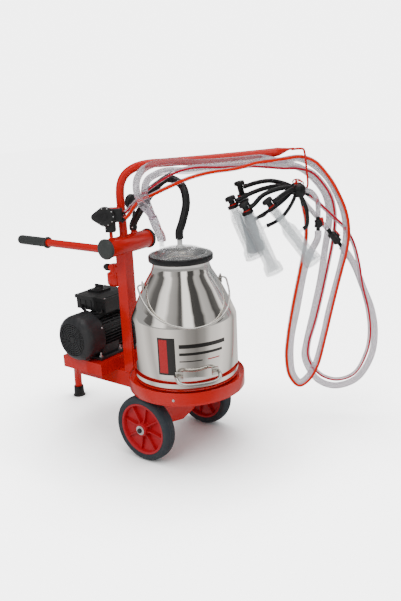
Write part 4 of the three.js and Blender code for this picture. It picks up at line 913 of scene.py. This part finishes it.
for k, (claw, radius, route) in enumerate(CLAW_TUBES):
    tube(f"claw_outlet_{k}", [at_arm(p) for p in route], radius, MILK if radius == 8 else RUBBER, 50, 28)

VALVES = [
    ([627, 28, 688], Z, 12, 12, 23, ALONG.copy(), 1),
    ([684, 9, 636], ALONG * 0.612 - Z * 0.791, 20, 14, 38, ALONG * 0.791 + Z * 0.612, -1),
]
for i, (centre, axis, half_length, radius, reach, stem, way) in enumerate(VALVES, 1):
    mid = at_arm(centre)
    ribs = []
    for s in (-1, 1):
        t = half_length
        while t < reach - 3:
            ribs.append((s, t))
            t += 4
    profile = [(0, -reach + 0.4), (5.4, -reach + 0.4)]
    t = -reach + 2
    while t < -half_length - 1:
        profile += [(6.9, t), (6.9, t + 2), (5.4, t + 3.6)]
        t += 4
    profile += [(5.8, -half_length), (radius - 1.2, -half_length), (radius, -half_length + 1.4),
                (radius, -half_length * 0.45), (radius - 1.4, -half_length * 0.38),
                (radius - 1.4, half_length * 0.38), (radius, half_length * 0.45), (radius, half_length - 1.4),
                (radius - 1.2, half_length), (5.8, half_length)]
    t = half_length + 1
    while t < reach - 2.5:
        profile += [(5.4, t), (6.9, t + 1.6), (6.9, t + 3)]
        t += 4
    profile += [(5.4, reach - 0.6), (0, reach - 0.6)]
    lathe(f"tap_body_{i}", profile, mid, axis, PLASTIC, 56, stands_for=[f"inline_valve_{i}"], slot="black_plastic")
    lathe(f"tap_stem_{i}", [(0, 0), (7.5, 0), (7.5, radius + 1), (5, radius + 2), (5, radius + 5), (0, radius + 5)],
          mid, stem, PLASTIC, 36)
    root = mid + stem * ((radius + 5.8) / 1000)
    crest = 14 if i == 1 else 7.5
    outline = [(-6, 0), (8, 0), (19, 1.5), (20, 3), (19, crest - 2), (16, crest), (8, crest * 0.7), (-4, 5), (-6, 4)]
    slab(f"tap_lever_{i}", outline, -(axis * way).cross(stem), root + (axis * way).cross(stem) * 0.0055, axis * way,
         11, LEVER, 1.4, 3, body=f"lever_{i}", stands_for=[f"valve_lever_{i}"], slot="lever_plastic")
    dome_screw(f"tap_screw_{i}", root + stem * 0.0046, stem, 2.4, ZINC, f"lever_{i}")

# ---- floor, backdrop and lights -----------------------------------------------------------
SHOWN = 5.0            # how bright floor and backdrop look to the camera


def lit_for_camera(tree, low, high):
    """A value that is high for what the camera sees straight on and low for all other light."""
    path = tree.nodes.new("ShaderNodeLightPath")
    spread = tree.nodes.new("ShaderNodeMapRange")
    spread.inputs["To Min"].default_value = low
    spread.inputs["To Max"].default_value = high
    tree.links.new(path.outputs["Is Camera Ray"], spread.inputs["Value"])
    return spread.outputs["Result"]


pale = material("floor_pale", (0.86, 0.86, 0.86), 0.8, vary=0.01, grain=60, bump=0.01, specular=0.05)
pale_shader = pale.node_tree.nodes["Principled BSDF"]
pale_shader.inputs["Emission Color"].default_value = (1, 1, 1, 1)
# Painted shadow: the floor's glow to the camera is darkened near the object by ambient occlusion cubed, which paints in
# part of its soft shadow.
shade = pale.node_tree.nodes.new("ShaderNodeAmbientOcclusion")
shade.samples = 12
shade.inputs["Distance"].default_value = 0.45
painted_floor_shadow = pale.node_tree.nodes.new("ShaderNodeMath")
painted_floor_shadow.operation = "POWER"
painted_floor_shadow.inputs[1].default_value = 3.0
pale.node_tree.links.new(shade.outputs["AO"], painted_floor_shadow.inputs[0])
glow = pale.node_tree.nodes.new("ShaderNodeMath")
glow.operation = "MULTIPLY"
pale.node_tree.links.new(painted_floor_shadow.outputs["Value"], glow.inputs[0])
pale.node_tree.links.new(lit_for_camera(pale.node_tree, 0, SHOWN - 0.65), glow.inputs[1])
pale.node_tree.links.new(glow.outputs["Value"], pale_shader.inputs["Emission Strength"])
floor = finish_mesh("floor", [Vector((-14, -14, 0)), Vector((14, -14, 0)), Vector((14, 14, 0)), Vector((-14, 14, 0))],
                    [[0, 1, 2, 3]], pale, body=None)


def light(name, place, target, size, power, mirrored=True):
    data = bpy.data.lights.new(name, "AREA")
    data.shape = "RECTANGLE"
    data.size, data.size_y = size
    data.energy = power
    obj = bpy.data.objects.new(name, data)
    obj.location = place
    obj.rotation_mode = "QUATERNION"
    obj.rotation_quaternion = (Vector(target) - Vector(place)).to_track_quat("-Z", "Y")
    obj.visible_glossy = mirrored
    bpy.context.scene.collection.objects.link(obj)


middle = Vector((0, 0, 0.45))
light("key", Vector((-2.6, -0.6, 3.0)), middle, (1.6, 1.6), 52, mirrored=False)
light("top", Vector((0.2, 0.0, 3.6)), middle, (2.6, 2.6), 38)
light("fill", Vector((0.9, -3.4, 1.6)), middle, (1.2, 2.4), 16, mirrored=False)
light("rim", Vector((2.6, 1.8, 2.0)), middle, (1.0, 2.2), 12)

# Tones by heading round the pail, in degrees: what its polished wall and shoulder pick up.
WALL_TONES = [(-330, 0.55), (-290, 0.20), (-262, 0.10), (-240, 0.75), (-222, 1.0), (-204, 0.60), (-192, 0.95),
              (-170, 1.05), (-152, 0.70), (-138, 0.34), (-122, 0.22), (-108, 0.36), (-96, 0.85), (-70, 1.15),
              (-48, 0.80), (-36, 0.35), (-24, 0.85), (0, 0.95), (18, 0.25)]
SHOULDER_TONES = [(-330, 0.30), (-272, 0.05), (-250, 0.42), (-232, 0.12), (-216, 0.10), (-206, 1.25), (-188, 1.5),
                  (-178, 0.50), (-160, 0.34), (-152, 0.08), (-146, 0.10), (-141, 1.6), (-124, 1.6), (-118, 0.06),
                  (-98, 0.05), (-90, 0.60), (-72, 0.50), (-66, 0.06), (-50, 0.12), (-42, 1.2), (-22, 1.0),
                  (-12, 0.10), (18, 0.30)]


def screen(name, tones, radius, low, high, warmth):
    """A ring round the pail, seen only in polished pieces, whose tone runs smoothly with its heading."""
    first, last = tones[0][0], tones[-1][0]
    steps = 180
    verts, along = [], []
    for k in range(steps + 1):
        a = math.radians(first + (last - first) * k / steps)
        for z in (low, high):
            verts.append(at(radius * math.cos(a), radius * math.sin(a), z))
            along.append((k / steps, 0))
    faces = [[2 * k, 2 * k + 1, 2 * k + 3, 2 * k + 2] for k in range(steps)]
    m = material(name, (0.02, 0.02, 0.02), 0.9, vary=0.02, grain=20, bump=0.01, specular=0.0)
    nt = m.node_tree
    uv = nt.nodes.new("ShaderNodeUVMap")
    uv.uv_map = "round"
    ramp = nt.nodes.new("ShaderNodeValToRGB")
    split = nt.nodes.new("ShaderNodeSeparateXYZ")
    nt.links.new(uv.outputs["UV"], split.inputs["Vector"])
    nt.links.new(split.outputs["X"], ramp.inputs["Fac"])
    stops = ramp.color_ramp.elements
    for k, (heading, tone) in enumerate(tones):
        edge = k in (0, len(tones) - 1)
        stop = stops[0 if k == 0 else -1] if edge else stops.new((heading - first) / (last - first))
        stop.color = (tone, tone * (1 - warmth), tone * (1 - 2 * warmth), 1)
    shader = nt.nodes["Principled BSDF"]
    nt.links.new(ramp.outputs["Color"], shader.inputs["Emission Color"])
    shader.inputs["Emission Strength"].default_value = 1
    obj = finish_mesh(name, verts, faces, m, body=None, uv=along)
    obj.visible_camera = False
    obj.visible_diffuse = False
    obj.visible_shadow = False
    obj.visible_transmission = False


screen("wall_screen", WALL_TONES, 370, 0, 470, 0.035)
screen("shoulder_screen", SHOULDER_TONES, 2000, 850, 3600, 0.02)

world = bpy.data.worlds.new("studio")
bpy.context.scene.world = world
world.use_nodes = True
sky = world.node_tree.nodes["Background"]
sky.inputs["Color"].default_value = (1, 1, 1, 1)
world.node_tree.links.new(lit_for_camera(world.node_tree, 0.42, SHOWN), sky.inputs["Strength"])
